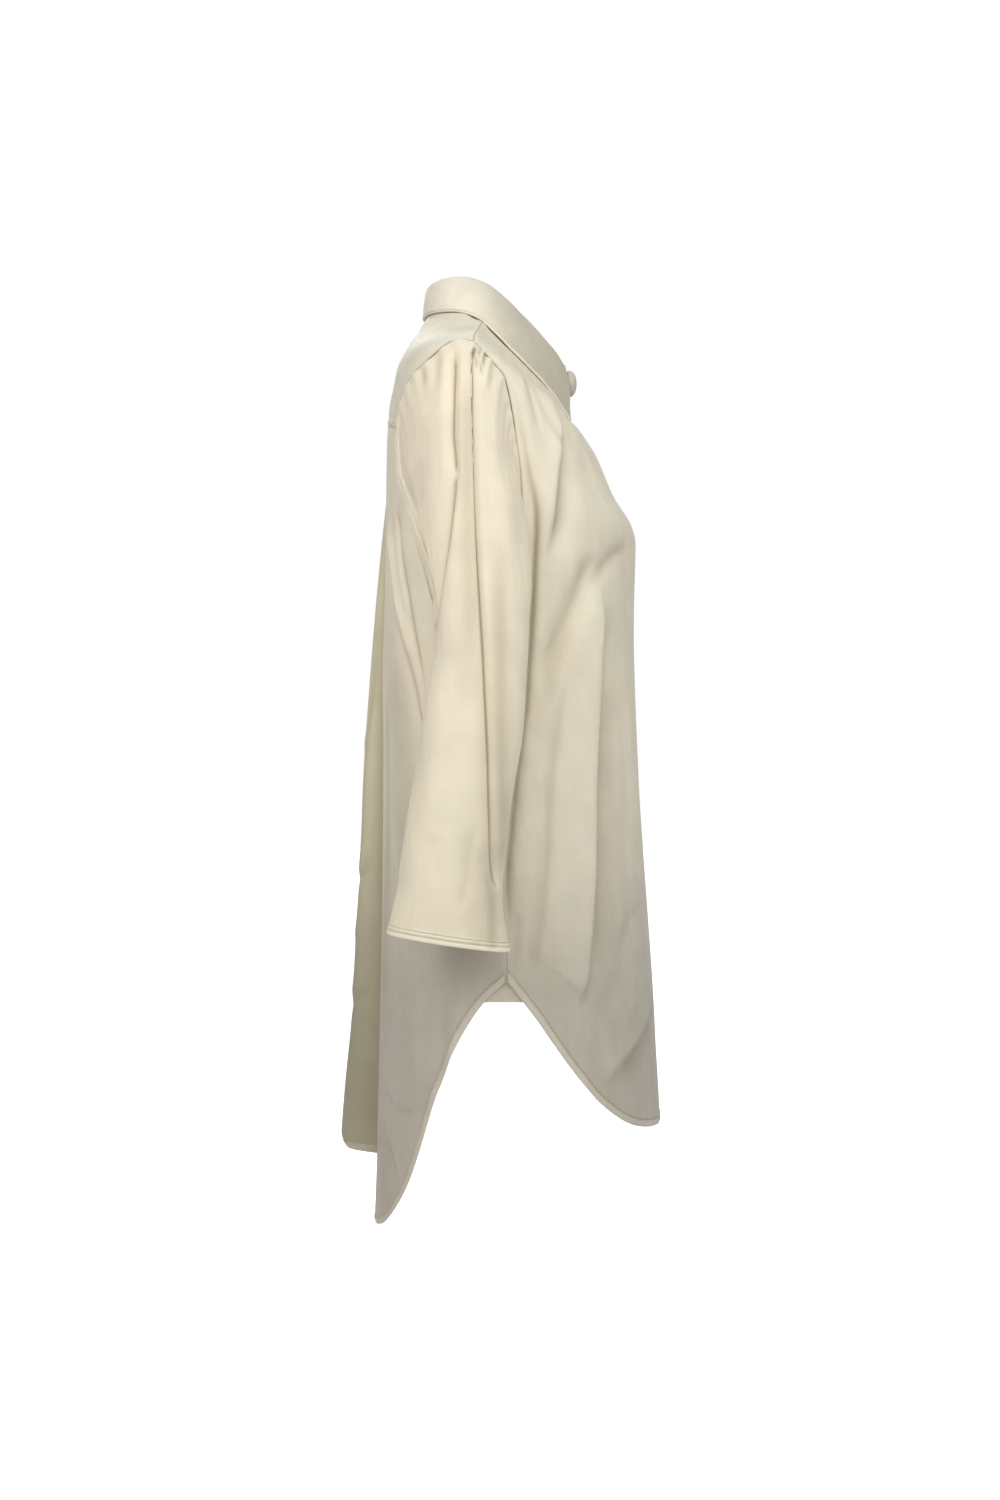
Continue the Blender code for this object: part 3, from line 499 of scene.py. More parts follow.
# ==== the body's form
@dataclass(frozen=True)
class BodyForm:
    """Skin of the filled shirt through rings, and the lines of its panels on it."""

    columns: tuple[str, ...] = (
        "front_height", "side_height", "back_height", "front_reach", "back_reach",
        "half_width", "side_depth", "front_square", "back_square",
    )
    rings: Table = (
        (-0.072, 0.0, 0.01, 0.064, 0.07, 0.06, 0.016, 2.0, 2.0),    # neckline
        (-0.104, -0.023, -0.02, 0.075, 0.09, 0.126, 0.02, 2.0, 2.4),  # mid slope
        (-0.128, -0.047, -0.06, 0.094, 0.1022, 0.19, 0.0235, 2.1, 3.0),  # shoulder
        (-0.17, -0.12, -0.115, 0.113, 0.1095, 0.197, 0.028, 2.2, 3.2),  # chest
        (-0.215, -0.2, -0.19, 0.134, 0.111, 0.202, 0.03, 2.4, 3.0),  # bust
        (-0.305, -0.305, -0.305, 0.1325, 0.1125, 0.208, 0.028, 2.4, 2.8),  # underarm
        (-0.44, -0.44, -0.44, 0.137, 0.1135, 0.214, 0.012, 2.3, 2.5),  # waist
        (-0.63, -0.63, -0.63, 0.1495, 0.117, 0.226, -0.006, 2.3, 2.4),  # hip
        (-0.79, -0.79, -0.79, 0.159, 0.1205, 0.238, -0.006, 2.2, 2.3),  # hem
        (-0.9, -0.9, -0.9, 0.165, 0.1245, 0.245, -0.006, 2.2, 2.3),  # tail
    )
    front_bend: float = 0.9
    back_bend: float = 1.5
    nape_rise: float = 0.0085
    chart_radius: float = 0.19
    step: float = 0.02
    samples: int = 900
    share: int = 80
    shoulder: float = 2.0
    underarm: float = 5.0

    @property
    def numbers(self) -> Array:
        """Ring numbers, from 0 at the neckline."""
        return np.arange(len(self.rings), dtype=float)

    def half_width(self, ring: Array) -> Array:
        """Half the width of the skin at a ring."""
        return smooth(self.numbers, self.rings, ring)[..., self.columns.index("half_width")]

    def bare(self, angle: Array, ring: Array) -> Array:
        """Point of the skin without creases; angle in degrees.

        Args:
            angle, ring: places on the body.

        Returns:
            Points, with x, y and z on the last axis.
        """
        turn = np.radians(np.asarray(angle, float))
        values = smooth(self.numbers, self.rings, ring)
        row = dict(zip(self.columns, np.moveaxis(values, -1, 0)))
        ahead, aside = np.cos(turn), np.sin(turn)
        in_front = ahead >= 0
        square = np.where(in_front, row["front_square"], row["back_square"])
        stretch = (np.abs(ahead) ** square + np.abs(aside) ** square) ** (-1 / square)
        away = np.abs(ahead) * stretch
        run = np.where(in_front, -row["front_reach"], row["back_reach"]) - row["side_depth"]
        centre = np.where(in_front, row["front_height"], row["back_height"])
        bend = np.where(in_front, self.front_bend, self.back_bend)
        x = -row["half_width"] * aside * stretch
        z = row["side_height"] + (centre - row["side_height"]) * away ** bend
        nape = smoothstep(0.0, 0.35, -ahead) * (1 - smoothstep(0.0, 0.8, ring))
        return np.stack([x, row["side_depth"] + run * away, z + self.nape_rise * nape], axis=-1)

    def normal(self, angle: Array, ring: Array) -> Array:
        """Outward direction of the skin.

        Args:
            angle, ring: places on the body.

        Returns:
            Directions one unit long.
        """
        angle, ring = np.asarray(angle, float), np.asarray(ring, float)
        around = self.bare(angle + self.step, ring) - self.bare(angle - self.step, ring)
        low = np.clip(ring + self.step, 0, self.numbers[-1])
        high = np.clip(ring - self.step, 0, self.numbers[-1])
        return unit(np.cross(around, self.bare(angle, low) - self.bare(angle, high)))

    def chart(self, angle: Array, points: Array) -> tuple[Array, Array]:
        """Distance round the body from the centre front, and height, for the creases."""
        folded = np.where(np.abs(angle) > 180, 360 - np.abs(angle), np.abs(angle))
        return np.radians(folded) * self.chart_radius, points[..., 2]

    def ring_at(self, height: Array, angle: Array) -> Array:
        """Ring number that has a height at an angle, below the shoulder.

        Args:
            height: heights in metres.
            angle: degrees round the body.

        Returns:
            The ring number of each.
        """
        rings = np.linspace(self.shoulder, self.numbers[-1], self.samples)
        found = []
        for wanted, turn in zip(np.atleast_1d(height), np.atleast_1d(angle)):
            heights = self.bare(np.full(rings.shape, turn), rings)[:, 2]
            found.append(np.interp(-wanted, -heights, rings))
        return np.array(found)

    def even(self, places: Array, steps: int) -> Array:
        """Thin a fine line of places to even distances."""
        length = run_length(self.bare(places[:, 0], places[:, 1]), 0)
        return sampled(np.linspace(0, length[-1], steps + 1), length, places)

    def fine(self, rows: Sequence) -> Array:
        """Many places on a smooth line through rows."""
        last = len(rows) - 1
        return smooth(np.arange(last + 1), rows, np.linspace(0, last, self.share * last + 1))

    def laid(self, points: Array, rest: float) -> Array:
        """The same points moved to a height above the nearest part of the upper skin.

        Args:
            points: points near the upper skin.
            rest: height above the skin, in metres.

        Returns:
            The points.
        """
        angle, ring = np.meshgrid(np.arange(0.0, 360.0, 1.0), np.arange(0.0, 1.6, 0.02))
        skin = self.bare(angle, ring).reshape(-1, 3)
        found = np.linalg.norm(skin[None] - points[:, None], axis=-1).argmin(1)
        return skin[found] + self.normal(angle.ravel()[found], ring.ravel()[found]) * rest

    def along(self, rows: Sequence, steps: int) -> Array:
        """Places at even distances along a smooth line through rows."""
        return self.even(self.fine(rows), steps)

    def hem_line(self, rows: Sequence, steps: int) -> Array:
        """Places along a hem given by angle and height."""
        table = np.array(rows, float)
        return self.along(np.stack([table[:, 0], self.ring_at(table[:, 1], table[:, 0])], 1), steps)

    @staticmethod
    def patch(left: Array, right: Array, top: Array, bottom: Array, crowding: float = 1.0) -> Array:
        """Places inside four edges that meet at their ends; crowding draws columns to the left.

        Args:
            left, right: places down the sides.
            top, bottom: places along the ends.
            crowding: power that draws the columns to the left.

        Returns:
            A grid of places: angle and ring on the last axis.
        """
        even = np.linspace(0, 1, len(top))
        u = (even ** crowding)[None, :, None]
        top, bottom = (smooth(even, edge, even ** crowding) for edge in (top, bottom))
        v = np.linspace(0, 1, len(left))[:, None, None]
        rows = left[:, None] * (1 - u) + right[:, None] * u
        lines = top[None, :] * (1 - v) + bottom[None, :] * v
        corners = (
            top[0] * (1 - u) * (1 - v) + top[-1] * u * (1 - v)
            + bottom[0] * (1 - u) * v + bottom[-1] * u * v
        )
        return rows + lines - corners


@dataclass(frozen=True)
class Pattern:
    """Lines of the body's panels on the form, and how finely each stretch is drawn."""

    armhole_back: Table = (
        (90, 2), (102, 1.93), (116, 2.18), (131, 2.5), (136.4, 3.08),
        (135.6, 3.58), (128.3, 4.02), (117, 4.52), (108.5, 4.9), (94, 5.06),
    )
    yoke_end_row: int = 4
    armhole_front: Table = (
        (90, 2), (86, 2.04), (81.1, 2.12), (77, 2.2), (74.5, 2.47), (72.9, 2.8),
        (72.2, 3.25), (72.6, 3.8), (75.5, 4.45), (82.5, 4.93), (94, 5.06),
    )
    yoke_middle: float = 0.9
    yoke_seam: Table = (
        (136.4, 3.08), (150, 2.93), (165, 2.78), (180, 2.68),
    )
    side_seam: Table = ((94.0, 5.06), (93.0, 5.5), (91.0, 6.2), (90.0, 6.96))
    hem_front: Table = (
        (90, -0.622), (80, -0.655), (67, -0.703), (55, -0.739),
        (40, -0.763), (20, -0.775), (0, -0.78),
    )
    hem_back: Table = (
        (90, -0.622), (100, -0.643), (112, -0.686), (120, -0.732), (128, -0.786),
        (137, -0.829), (150, -0.86), (162, -0.872), (170.2, -0.876),
    )
    hem_corner_power: int = 4
    back_edge: Table = (
        (-0.095, 176.5), (-0.33, 173), (-0.49, 168.6), (-0.88, 169.8),
    )
    overlap: float = 0.015
    shoulder_steps: int = 28
    armhole_front_steps: int = 96
    armhole_yoke_steps: int = 38
    armhole_back_steps: int = 62
    side_steps: int = 110
    front_columns: int = 112
    back_columns: int = 90
    back_crowding: float = 1.45
    placket_columns: int = 6


FORM = BodyForm()
PATTERN = Pattern()


def armhole_back() -> tuple[Array, Array]:
    """Armhole on the back, in the yoke's stretch and the back's stretch."""
    fine = FORM.fine(PATTERN.armhole_back)
    split = PATTERN.yoke_end_row * FORM.share
    upper = FORM.even(fine[:split + 1], PATTERN.armhole_yoke_steps)
    lower = FORM.even(fine[split:], PATTERN.armhole_back_steps)
    return upper, lower


def shoulder_places() -> Array:
    """Places down the shoulder seam, from the neckline to the armhole."""
    rings = np.linspace(0, FORM.shoulder, PATTERN.shoulder_steps + 1)
    return np.stack([np.full(rings.shape, 90.0), rings], 1)


def yoke_seam_places() -> Array:
    """Yoke seam from the armhole to the centre back; the last place but one is a back edge."""
    p = PATTERN
    angles = np.linspace(p.yoke_seam[0][0], p.back_edge[0][1], p.back_columns + 1)
    angles = np.append(angles, p.yoke_seam[-1][0])
    return np.stack([angles, read(p.yoke_seam, angles)], 1)


def overlap_angle(ring: Array) -> Array:
    """Angle by which a front passes the centre line, on each ring."""
    return np.degrees(np.arcsin(PATTERN.overlap / FORM.half_width(ring)))


# ==== finishes
class NodeKit:
    """Short calls for building shader trees; an operand is a socket or a value."""

    def __init__(self, tree: Tree) -> None:
        """Keep the tree that nodes go into."""
        self.tree = tree

    def add(self, kind: str, **values: object) -> Node:
        """New node of a kind, with its properties set."""
        node = self.tree.nodes.new(kind)
        for key, value in values.items():
            setattr(node, key, value)
        return node

    def feed(self, target: Socket, value: object) -> None:
        """Join an output to an input, or give the input a value."""
        if isinstance(value, Socket):
            self.tree.links.new(value, target)
        else:
            target.default_value = value

    def feed_all(self, node: Node, values: dict[str, object]) -> Node:
        """Feed several inputs of a node by their names."""
        for name, value in values.items():
            self.feed(node.inputs[name], value)
        return node

    def math(self, operation: str, first: object, second: object, kind: str = "Math") -> Socket:
        """Result of a Math node, or of a VectorMath one.

        Args:
            operation: the node's operation.
            first, second: outputs or values.
            kind: Math or VectorMath.

        Returns:
            The output.
        """
        node = self.add("ShaderNode" + kind, operation=operation)
        self.feed(node.inputs[0], first)
        self.feed(node.inputs[1], second)
        return node.outputs[0]

    def noise(self, place: Socket, scale: object, detail: float, roughness: float = 0.5) -> Socket:
        """Soft noise from 0 to 1."""
        node = self.add("ShaderNodeTexNoise", noise_dimensions="3D")
        values = {"Vector": place, "Scale": scale, "Detail": detail, "Roughness": roughness}
        return self.feed_all(node, values).outputs["Fac"]

    def ramp(self, source: Socket, low: float, high: float, bottom: float = 0.0, top: float = 1.0) -> Socket:
        """Map a value from one range to another, clamped.

        Args:
            source: the value.
            low, high: its range.
            bottom, top: results at the two ends.
        """
        node = self.add("ShaderNodeMapRange")
        values = {"Value": source, "From Min": low, "From Max": high, "To Min": bottom, "To Max": top}
        return self.feed_all(node, values).outputs["Result"]

    def blend(self, factor: Socket, first: object, second: object) -> Socket:
        """Blend of two colours.

        Args:
            factor: share of the second colour.
            first, second: the colours.
        """
        node = self.add("ShaderNodeMix", data_type="RGBA")
        for number, value in ((0, factor), (6, first), (7, second)):
            self.feed(node.inputs[number], value)
        return node.outputs[2]

    def group(self, tree: Tree, values: dict[str, object]) -> Node:
        """Shared group placed in this tree."""
        return self.feed_all(self.add("ShaderNodeGroup", node_tree=tree), values)

    def attribute(self, name: str) -> Socket:
        """Vector that the mesh stores for each of its points."""
        return self.add("ShaderNodeAttribute", attribute_name=name).outputs["Vector"]

    def place(self) -> Socket:
        """Place on the object."""
        return self.add("ShaderNodeTexCoord").outputs["Object"]


def new_group(name: str, inputs: dict[str, object], outputs: Sequence[str]) -> tuple:
    """Start a shader node group.

    Args:
        name: the group's name.
        inputs: default of each input, or None where it takes a vector.
        outputs: names of the outputs, which are values.

    Returns:
        The group, its kit, the sockets that its inputs arrive on and its output node.
    """
    group = bpy.data.node_groups.new(name, "ShaderNodeTree")
    for label, value in inputs.items():
        kind = "NodeSocketVector" if value is None else "NodeSocketFloat"
        socket = group.interface.new_socket(label, in_out="INPUT", socket_type=kind)
        if value is not None:
            socket.default_value = value
    for label in outputs:
        group.interface.new_socket(label, in_out="OUTPUT", socket_type="NodeSocketFloat")
    kit = NodeKit(group)
    return group, kit, kit.add("NodeGroupInput").outputs, kit.add("NodeGroupOutput")


@dataclass(frozen=True)
class CrepeWeave:
    """Plain weave of tightly twisted yarn, which pebbles and crinkles the surface."""

    yarns: float = 1900.0
    pebble: float = 620.0
    over: float = 0.22
    crinkle: tuple[float, float, float] = (75.0, 14.0, 30.0)
    slub: tuple[float, float, float] = (90.0, 30.0, 30.0)
    slub_share: float = 0.6

    def group(self) -> Tree:
        """Build the shared group."""
        inputs = {"Grain": None, "Yarns": self.yarns, "Pebble": self.pebble}
        group, kit, given, made = new_group("crepe_weave", inputs, ("Height", "Tone", "Crinkle"))
        grain = given["Grain"]
        split = kit.add("ShaderNodeSeparateXYZ")
        kit.feed(split.inputs[0], grain)
        yarns = []
        for axis in ("X", "Y"):
            turn = kit.math("MULTIPLY", split.outputs[axis], given["Yarns"])
            yarns.append(kit.math("SINE", kit.math("MULTIPLY", turn, math.pi), 0.5))
        over = kit.math("MULTIPLY", yarns[0], yarns[1])
        pebble = kit.noise(grain, given["Pebble"], 3.0, 0.62)
        slub = kit.noise(kit.math("MULTIPLY", grain, self.slub, "VectorMath"), 1.0, 2.0)
        tone = kit.math(
            "ADD", kit.math("MULTIPLY", slub, self.slub_share),
            kit.math("MULTIPLY", pebble, 1 - self.slub_share),
        )
        kit.feed_all(made, {
            "Height": kit.math("ADD", kit.math("MULTIPLY", over, self.over), pebble),
            "Tone": tone,
            "Crinkle": kit.noise(kit.math("MULTIPLY", grain, self.crinkle, "VectorMath"), 1.0, 3.0),
        })
        return group


@dataclass(frozen=True)
class SoftMottle:
    """Broad soft patches, as where silk has been handled and pressed."""

    size: float = 9.0
    detail: float = 2.5
    patches: tuple[tuple, ...] = (
        # name, offset, range that shows, how much finer
        ("Warm", 0.0, 0.45, 0.72, 1.0), ("Cool", 7.3, 0.46, 0.75, 1.0), ("Depth", 3.1, 0.3, 0.7, 3.0),
    )

    def group(self) -> Tree:
        """Build the shared group."""
        inputs = {"Place": None, "Size": self.size}
        group, kit, given, made = new_group("soft_mottle", inputs, [row[0] for row in self.patches])
        for label, offset, low, high, finer in self.patches:
            place = kit.math("ADD", given["Place"], (offset, offset, offset), "VectorMath")
            noise = kit.noise(place, kit.math("MULTIPLY", given["Size"], finer), self.detail)
            kit.feed(made.inputs[label], kit.ramp(noise, low, high))
        return group


@dataclass(frozen=True)
class CrepeFinish:
    """Cream crepe; colours are linear."""

    name: str
    base: Colour = (0.78, 0.712, 0.56)
    warm: Colour = (0.8, 0.69, 0.54)
    cool: Colour = (0.7, 0.68, 0.56)
    band: Colour = (0.84, 0.78, 0.64)
    # painted shade laid into creases, seams, stitched grooves and contact shadows
    painted_shade_dark: Colour = (0.365, 0.3, 0.195)
    # painted shade where the cloth is painted dimmer: lower body and pleat, collar front, gussets
    painted_shade_dim: Colour = (0.505, 0.464, 0.385)
    warm_share: float = 0.55
    cool_share: float = 0.45
    tone: float = 0.018
    tone_range: Pair = (0.3, 0.7)
    patchy: float = 0.045
    roughness: float = 0.56
    roughness_drift: Pair = (-0.05, 0.06)
    bump: float = 0.14
    bump_distance: float = 0.00016
    crinkle: float = 0.35
    crinkle_distance: float = 0.003
    sheen: float = 0.22
    sheen_roughness: float = 0.42
    sheen_tint: tuple[float, ...] = (1.0, 0.96, 0.88, 1.0)
    specular: float = 0.35

    def colour(self, kit: NodeKit, mottle: Node, weave: Node) -> Socket:
        """Colour of the cloth, with its lighter bands and the shade painted in creases and dim parts.

        Args:
            kit: the material under construction.
            mottle, weave: the shared groups.
        """
        split = kit.add("ShaderNodeSeparateXYZ")
        kit.feed(split.inputs[0], kit.attribute("marks"))
        colour = (*self.base, 1)
        for factor, towards in (
            (kit.math("MULTIPLY", mottle.outputs["Warm"], self.warm_share), self.warm),
            (kit.math("MULTIPLY", mottle.outputs["Cool"], self.cool_share), self.cool),
            # Z and Y blend in painted shade; X is the lighter doubled band
            (split.outputs["Z"], self.painted_shade_dim),
            (split.outputs["X"], self.band),
            (split.outputs["Y"], self.painted_shade_dark),
        ):
            colour = kit.blend(factor, colour, (*towards, 1))
        dark = kit.ramp(weave.outputs["Tone"], *self.tone_range, 1.0 - self.tone, 1.0 + self.tone)
        uneven = kit.ramp(mottle.outputs["Depth"], 0.0, 1.0, 1.0 - self.patchy, 1.0 + self.patchy)
        shaded = kit.add("ShaderNodeVectorMath", operation="SCALE")
        kit.feed(shaded.inputs[0], colour)
        kit.feed(shaded.inputs["Scale"], kit.math("MULTIPLY", dark, uneven))
        return shaded.outputs[0]

    def normal(self, kit: NodeKit, weave: Node) -> Socket:
        """Relief of the pebbled yarn, and of the crinkle over it.

        Args:
            kit: the material under construction.
            weave: the shared group.
        """
        bump = kit.feed_all(kit.add("ShaderNodeBump"), {
            "Strength": self.bump, "Distance": self.bump_distance, "Height": weave.outputs["Height"],
        })
        waves = kit.feed_all(kit.add("ShaderNodeBump"), {
            "Strength": self.crinkle, "Distance": self.crinkle_distance,
            "Height": weave.outputs["Crinkle"], "Normal": bump.outputs["Normal"],
        })
        return waves.outputs["Normal"]

    def material(self, groups: dict[str, Tree]) -> Material:
        """Build the material from the shared groups.

        Args:
            groups: the shared node groups, by name.
        """
        material = bpy.data.materials.new(self.name)
        material.use_nodes = True
        kit = NodeKit(material.node_tree)
        weave = kit.group(groups["weave"], {"Grain": kit.attribute("grain")})
        mottle = kit.group(groups["mottle"], {"Place": kit.place()})
        low, high = (self.roughness + drift for drift in self.roughness_drift)
        kit.feed_all(material.node_tree.nodes["Principled BSDF"], {
            "Base Color": self.colour(kit, mottle, weave),
            "Roughness": kit.ramp(weave.outputs["Tone"], *self.tone_range, low, high),
            "Normal": self.normal(kit, weave),
            "Sheen Weight": self.sheen,
            "Sheen Roughness": self.sheen_roughness,
            "Sheen Tint": self.sheen_tint,
            "Specular IOR Level": self.specular,
        })
        return material


@dataclass(frozen=True)
class ThreadFinish:
    """Mercerised sewing thread."""

    name: str = "cream_thread"
    colour: Colour = (0.83, 0.77, 0.62)
    darker: float = 0.86
    patch_size: float = 160.0
    roughness: float = 0.45

    def material(self, groups: dict[str, Tree]) -> Material:
        """Build the material; its colour drifts a little from stitch to stitch.

        Args:
            groups: the shared node groups, by name.
        """
        material = bpy.data.materials.new(self.name)
        material.use_nodes = True
        kit = NodeKit(material.node_tree)
        mottle = kit.group(groups["mottle"], {"Place": kit.place(), "Size": self.patch_size})
        dark = tuple(self.darker * c for c in self.colour)
        kit.feed_all(material.node_tree.nodes["Principled BSDF"], {
            "Base Color": kit.blend(mottle.outputs["Warm"], (*self.colour, 1), (*dark, 1)),
            "Roughness": self.roughness,
        })
        return material


FINISHES = (
    CrepeFinish("cream_crepe"),
    CrepeFinish("yoke_crepe", base=(0.715, 0.675, 0.545), warm=(0.735, 0.675, 0.53),
                cool=(0.66, 0.65, 0.54)),
    # darker copy of the crepe: painted shade for the underlay, which lies in shadow between the halves
    CrepeFinish("pleat_crepe_painted_shade", base=(0.64, 0.595, 0.42), warm=(0.65, 0.59, 0.395),
                cool=(0.57, 0.55, 0.41), painted_shade_dim=(0.37, 0.34, 0.245)),
    CrepeFinish("collar_crepe", base=(0.85, 0.79, 0.66), warm=(0.86, 0.78, 0.64),
                cool=(0.8, 0.76, 0.65), painted_shade_dim=(0.5, 0.465, 0.365), roughness=0.58, bump=0.1),
    CrepeFinish("button_crepe", base=(0.56, 0.525, 0.43), warm=(0.58, 0.52, 0.41),
                cool=(0.5, 0.49, 0.42), bump=0.16),
    CrepeFinish("sleeve_crepe", base=(0.812, 0.724, 0.56), warm=(0.842, 0.712, 0.556),
                cool=(0.762, 0.716, 0.57), band=(0.93, 0.865, 0.7)),
    ThreadFinish(),
)


class Wardrobe:
    """Every finish of the shirt, built once."""

    def __init__(self) -> None:
        """Build the shared groups and the materials."""
        groups = {"weave": CrepeWeave().group(), "mottle": SoftMottle().group()}
        self.materials = {finish.name: finish.material(groups) for finish in FINISHES}

    def __getitem__(self, name: str) -> Material:
        """Material of a finish."""
        return self.materials[name]


# ==== meshes
def add_mesh(name: str, points: Array, faces: list, material: Material) -> Thing:
    """Make a piece from points and faces, and hang it on the body.

    Args:
        name: the piece's name.
        points: its points, n by 3.
        faces: its faces, as lists of point numbers.
        material: its finish.

    Returns:
        The new object.
    """
    mesh = bpy.data.meshes.new(name)
    mesh.from_pydata(points.tolist(), [], faces)
    mesh.materials.append(material)
    mesh.shade_smooth()
    piece = bpy.data.objects.new(name, mesh)
    bpy.context.scene.collection.objects.link(piece)
    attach(piece, BODY_NAME)
    return piece


def store_vectors(mesh: bpy.types.Mesh, name: str, values: Array) -> None:
    """Keep a vector for each point of a mesh, for its finish to read."""
    layer = mesh.attributes.new(name, "FLOAT_VECTOR", "POINT")
    layer.data.foreach_set("vector", np.ascontiguousarray(values, dtype=np.float32).ravel())


def grid_faces(first: int, rows: int, columns: int, closed: bool, turned: bool) -> Array:
    """Quads of a grid of points, as point numbers.

    Args:
        first: number of the first point.
        rows, columns: size of the grid.
        closed: whether the last column joins the first.
        turned: whether the quads face the other way.

    Returns:
        Four point numbers for each quad.
    """
    last = columns if closed else columns - 1
    i, j = np.meshgrid(np.arange(rows - 1), np.arange(last), indexing="ij")
    k = (j + 1) % columns
    corners = [i * columns + j, i * columns + k, (i + 1) * columns + k, (i + 1) * columns + j]
    quads = np.stack(corners[::-1] if turned else corners, -1).reshape(-1, 4)
    return quads + first


@dataclass
class Shell:
    """Thin wall of cloth between an outer grid and an inner one."""

    name: str
    outer: Array
    normal: Array
    thickness: Array | float = CLOTH
    closed: bool = False
    # per point: lighter doubled band, painted crease shade, painted dimming
    marks: Array | None = None
    flipped: bool = False
    sharp: float = 62.0

    def build(self, material: Material, slot: str) -> Thing:
        """Make the wall.

        Args:
            material: its finish.
            slot: the record's material slot; not used.

        Returns:
            The new piece.
        """
        rows, columns = self.outer.shape[:2]
        count = rows * columns
        inner = self.outer - self.normal * np.broadcast_to(self.thickness, (rows, columns))[..., None]
        points = np.concatenate([self.outer.reshape(-1, 3), inner.reshape(-1, 3)])
        faces = [
            grid_faces(0, rows, columns, self.closed, self.flipped),
            grid_faces(count, rows, columns, self.closed, not self.flipped),
        ]
        across, down = np.arange(columns), np.arange(rows) * columns
        rims = [(across, False, self.closed), (across + (rows - 1) * columns, True, self.closed)]
        if not self.closed:
            rims += [(down, True, False), (down + columns - 1, False, False)]
        for line, turned, round_again in rims:
            a, b = (line, np.roll(line, -1)) if round_again else (line[:-1], line[1:])
            quad = [a, a + count, b + count, b]
            faces.append(np.stack(quad[::-1] if turned != self.flipped else quad, -1))
        piece = add_mesh(self.name, points, np.concatenate(faces).tolist(), material)
        marks = self.marks if self.marks is not None else np.zeros_like(self.outer)
        for name, values in (("grain", self.flat_grain()), ("marks", marks)):
            store_vectors(piece.data, name, np.concatenate([values.reshape(-1, 3)] * 2))
        piece.data.set_sharp_from_angle(angle=math.radians(self.sharp))
        return piece

    def line(self, rim: Rim, number: int) -> tuple[Array, Array]:
        """Points and outward directions along a mesh line, counted from an edge.

        Args:
            rim: the edge.
            number: lines from the edge inwards.

        Returns:
            The points and their outward directions.
        """
        line = rim.line(number)
        points, normal = self.outer[line], self.normal[line]
        if self.closed and rim in (Rim.TOP, Rim.BOTTOM):
            points, normal = (np.concatenate([rows, rows[:1]]) for rows in (points, normal))
        return points, normal

    def on(self, side: Side) -> "Shell":
        """The wall on a side of the wearer; it is drafted on the right."""
        if side is Side.RIGHT:
            return self
        outer, normal = mirrored(self.outer), mirrored(self.normal)
        return replace(self, outer=outer, normal=normal, flipped=not self.flipped)

    def flat_grain(self) -> Array:
        """Place of each point on the flat cloth, in metres: across the weft, down the warp."""
        across, down = run_length(self.outer, 1), run_length(self.outer, 0)
        across = across - across[:, across.shape[1] // 2][:, None]
        return np.stack([across, down, np.zeros_like(down)], -1)

    def cut(self) -> tuple[float, float, float]:
        """Largest width and length of the cloth, and its area.

        Returns:
            Width and length in metres, and area in square metres.
        """
        outer = self.outer
        if self.closed:
            outer = np.concatenate([outer, outer[:, :1]], 1)
        a, b, c, d = outer[:-1, :-1], outer[:-1, 1:], outer[1:, 1:], outer[1:, :-1]
        area = np.linalg.norm(np.cross(c - a, d - b), axis=-1).sum() / 2
        return float(run_length(outer, 1).max()), float(run_length(outer, 0).max()), float(area)


@dataclass
class Seamstress:
    """Sews rows of stitches, each a short bead of thread, and keeps them for one mesh."""

    name: str
    pitch: float = 0.003
    gap: float = 0.0007
    radius: float = 0.00024
    height: float = 0.9
    sink: float = 0.5
    sides: int = 4
    bead: Table = ((-1.0, 0.0), (-0.45, 1.0), (0.45, 1.0), (1.0, 0.0))
    rows: list[tuple[list[Array], Array]] = field(default_factory=list)

    def sew(self, line: Array, normal: Array) -> None:
        """Add a row of stitches.

        Args:
            line: points along the row.
            normal: outward direction of the cloth at each point.
        """
        length = run_length(line, 0)
        count = int(length[-1] / self.pitch)
        if count < 1:
            return
        starts = (np.arange(count) + 0.5) * length[-1] / count
        half = (self.pitch - self.gap) / 2
        ends = [sampled(np.clip(starts + off, 0, length[-1]), length, line) for off in (-half, 0.0, half)]
        self.rows.append((ends, unit(sampled(starts, length, normal))))

    def sew_edges(self, shell: Shell, edges: dict[Rim, Edge]) -> None:
        """Sew every stitched line of a piece's edges.

        Args:
            shell: the wall that is sewn.
            edges: the treatment of each edge.
        """
        for rim, finish in edges.items():
            for number in finish.sewn:
                self.sew(*shell.line(rim, number))

    def build(self, material: Material, slot: str) -> Thing:
        """Make one mesh of every stitch.

        Args:
            material: finish of the thread.
            slot: the material's slot; not used.

        Returns:
            The object.
        """
        last = 1 + 2 * self.sides
        near, far = np.arange(self.sides) + 1, np.arange(self.sides) + 1 + self.sides
        local = []
        for a, b, c, d in zip(near, np.roll(near, -1), far, np.roll(far, -1)):
            local += [(0, b, a), (c, d, last), (a, b, d, c)]
        points, faces, first = [], [], 0
        for (start, middle, end), out in self.rows:
            ahead = (end - start) / 2
            across = unit(np.cross(ahead, out)) * self.radius
            up = out * self.radius * self.height
            for share, girth in self.bead:
                base = middle + ahead * share - out * self.radius * self.sink * share ** 2
                for side in range(self.sides if girth > 0 else 1):
                    turn = 2 * math.pi * side / self.sides
                    points.append(base + girth * (across * math.cos(turn) + up * math.sin(turn)))
            number = np.arange(len(out)) + first
            for face in local:
                faces.extend(np.stack([number + index * len(out) for index in face], 1).tolist())
            first += (last + 1) * len(out)
        return add_mesh(self.name, np.concatenate(points), faces, material)


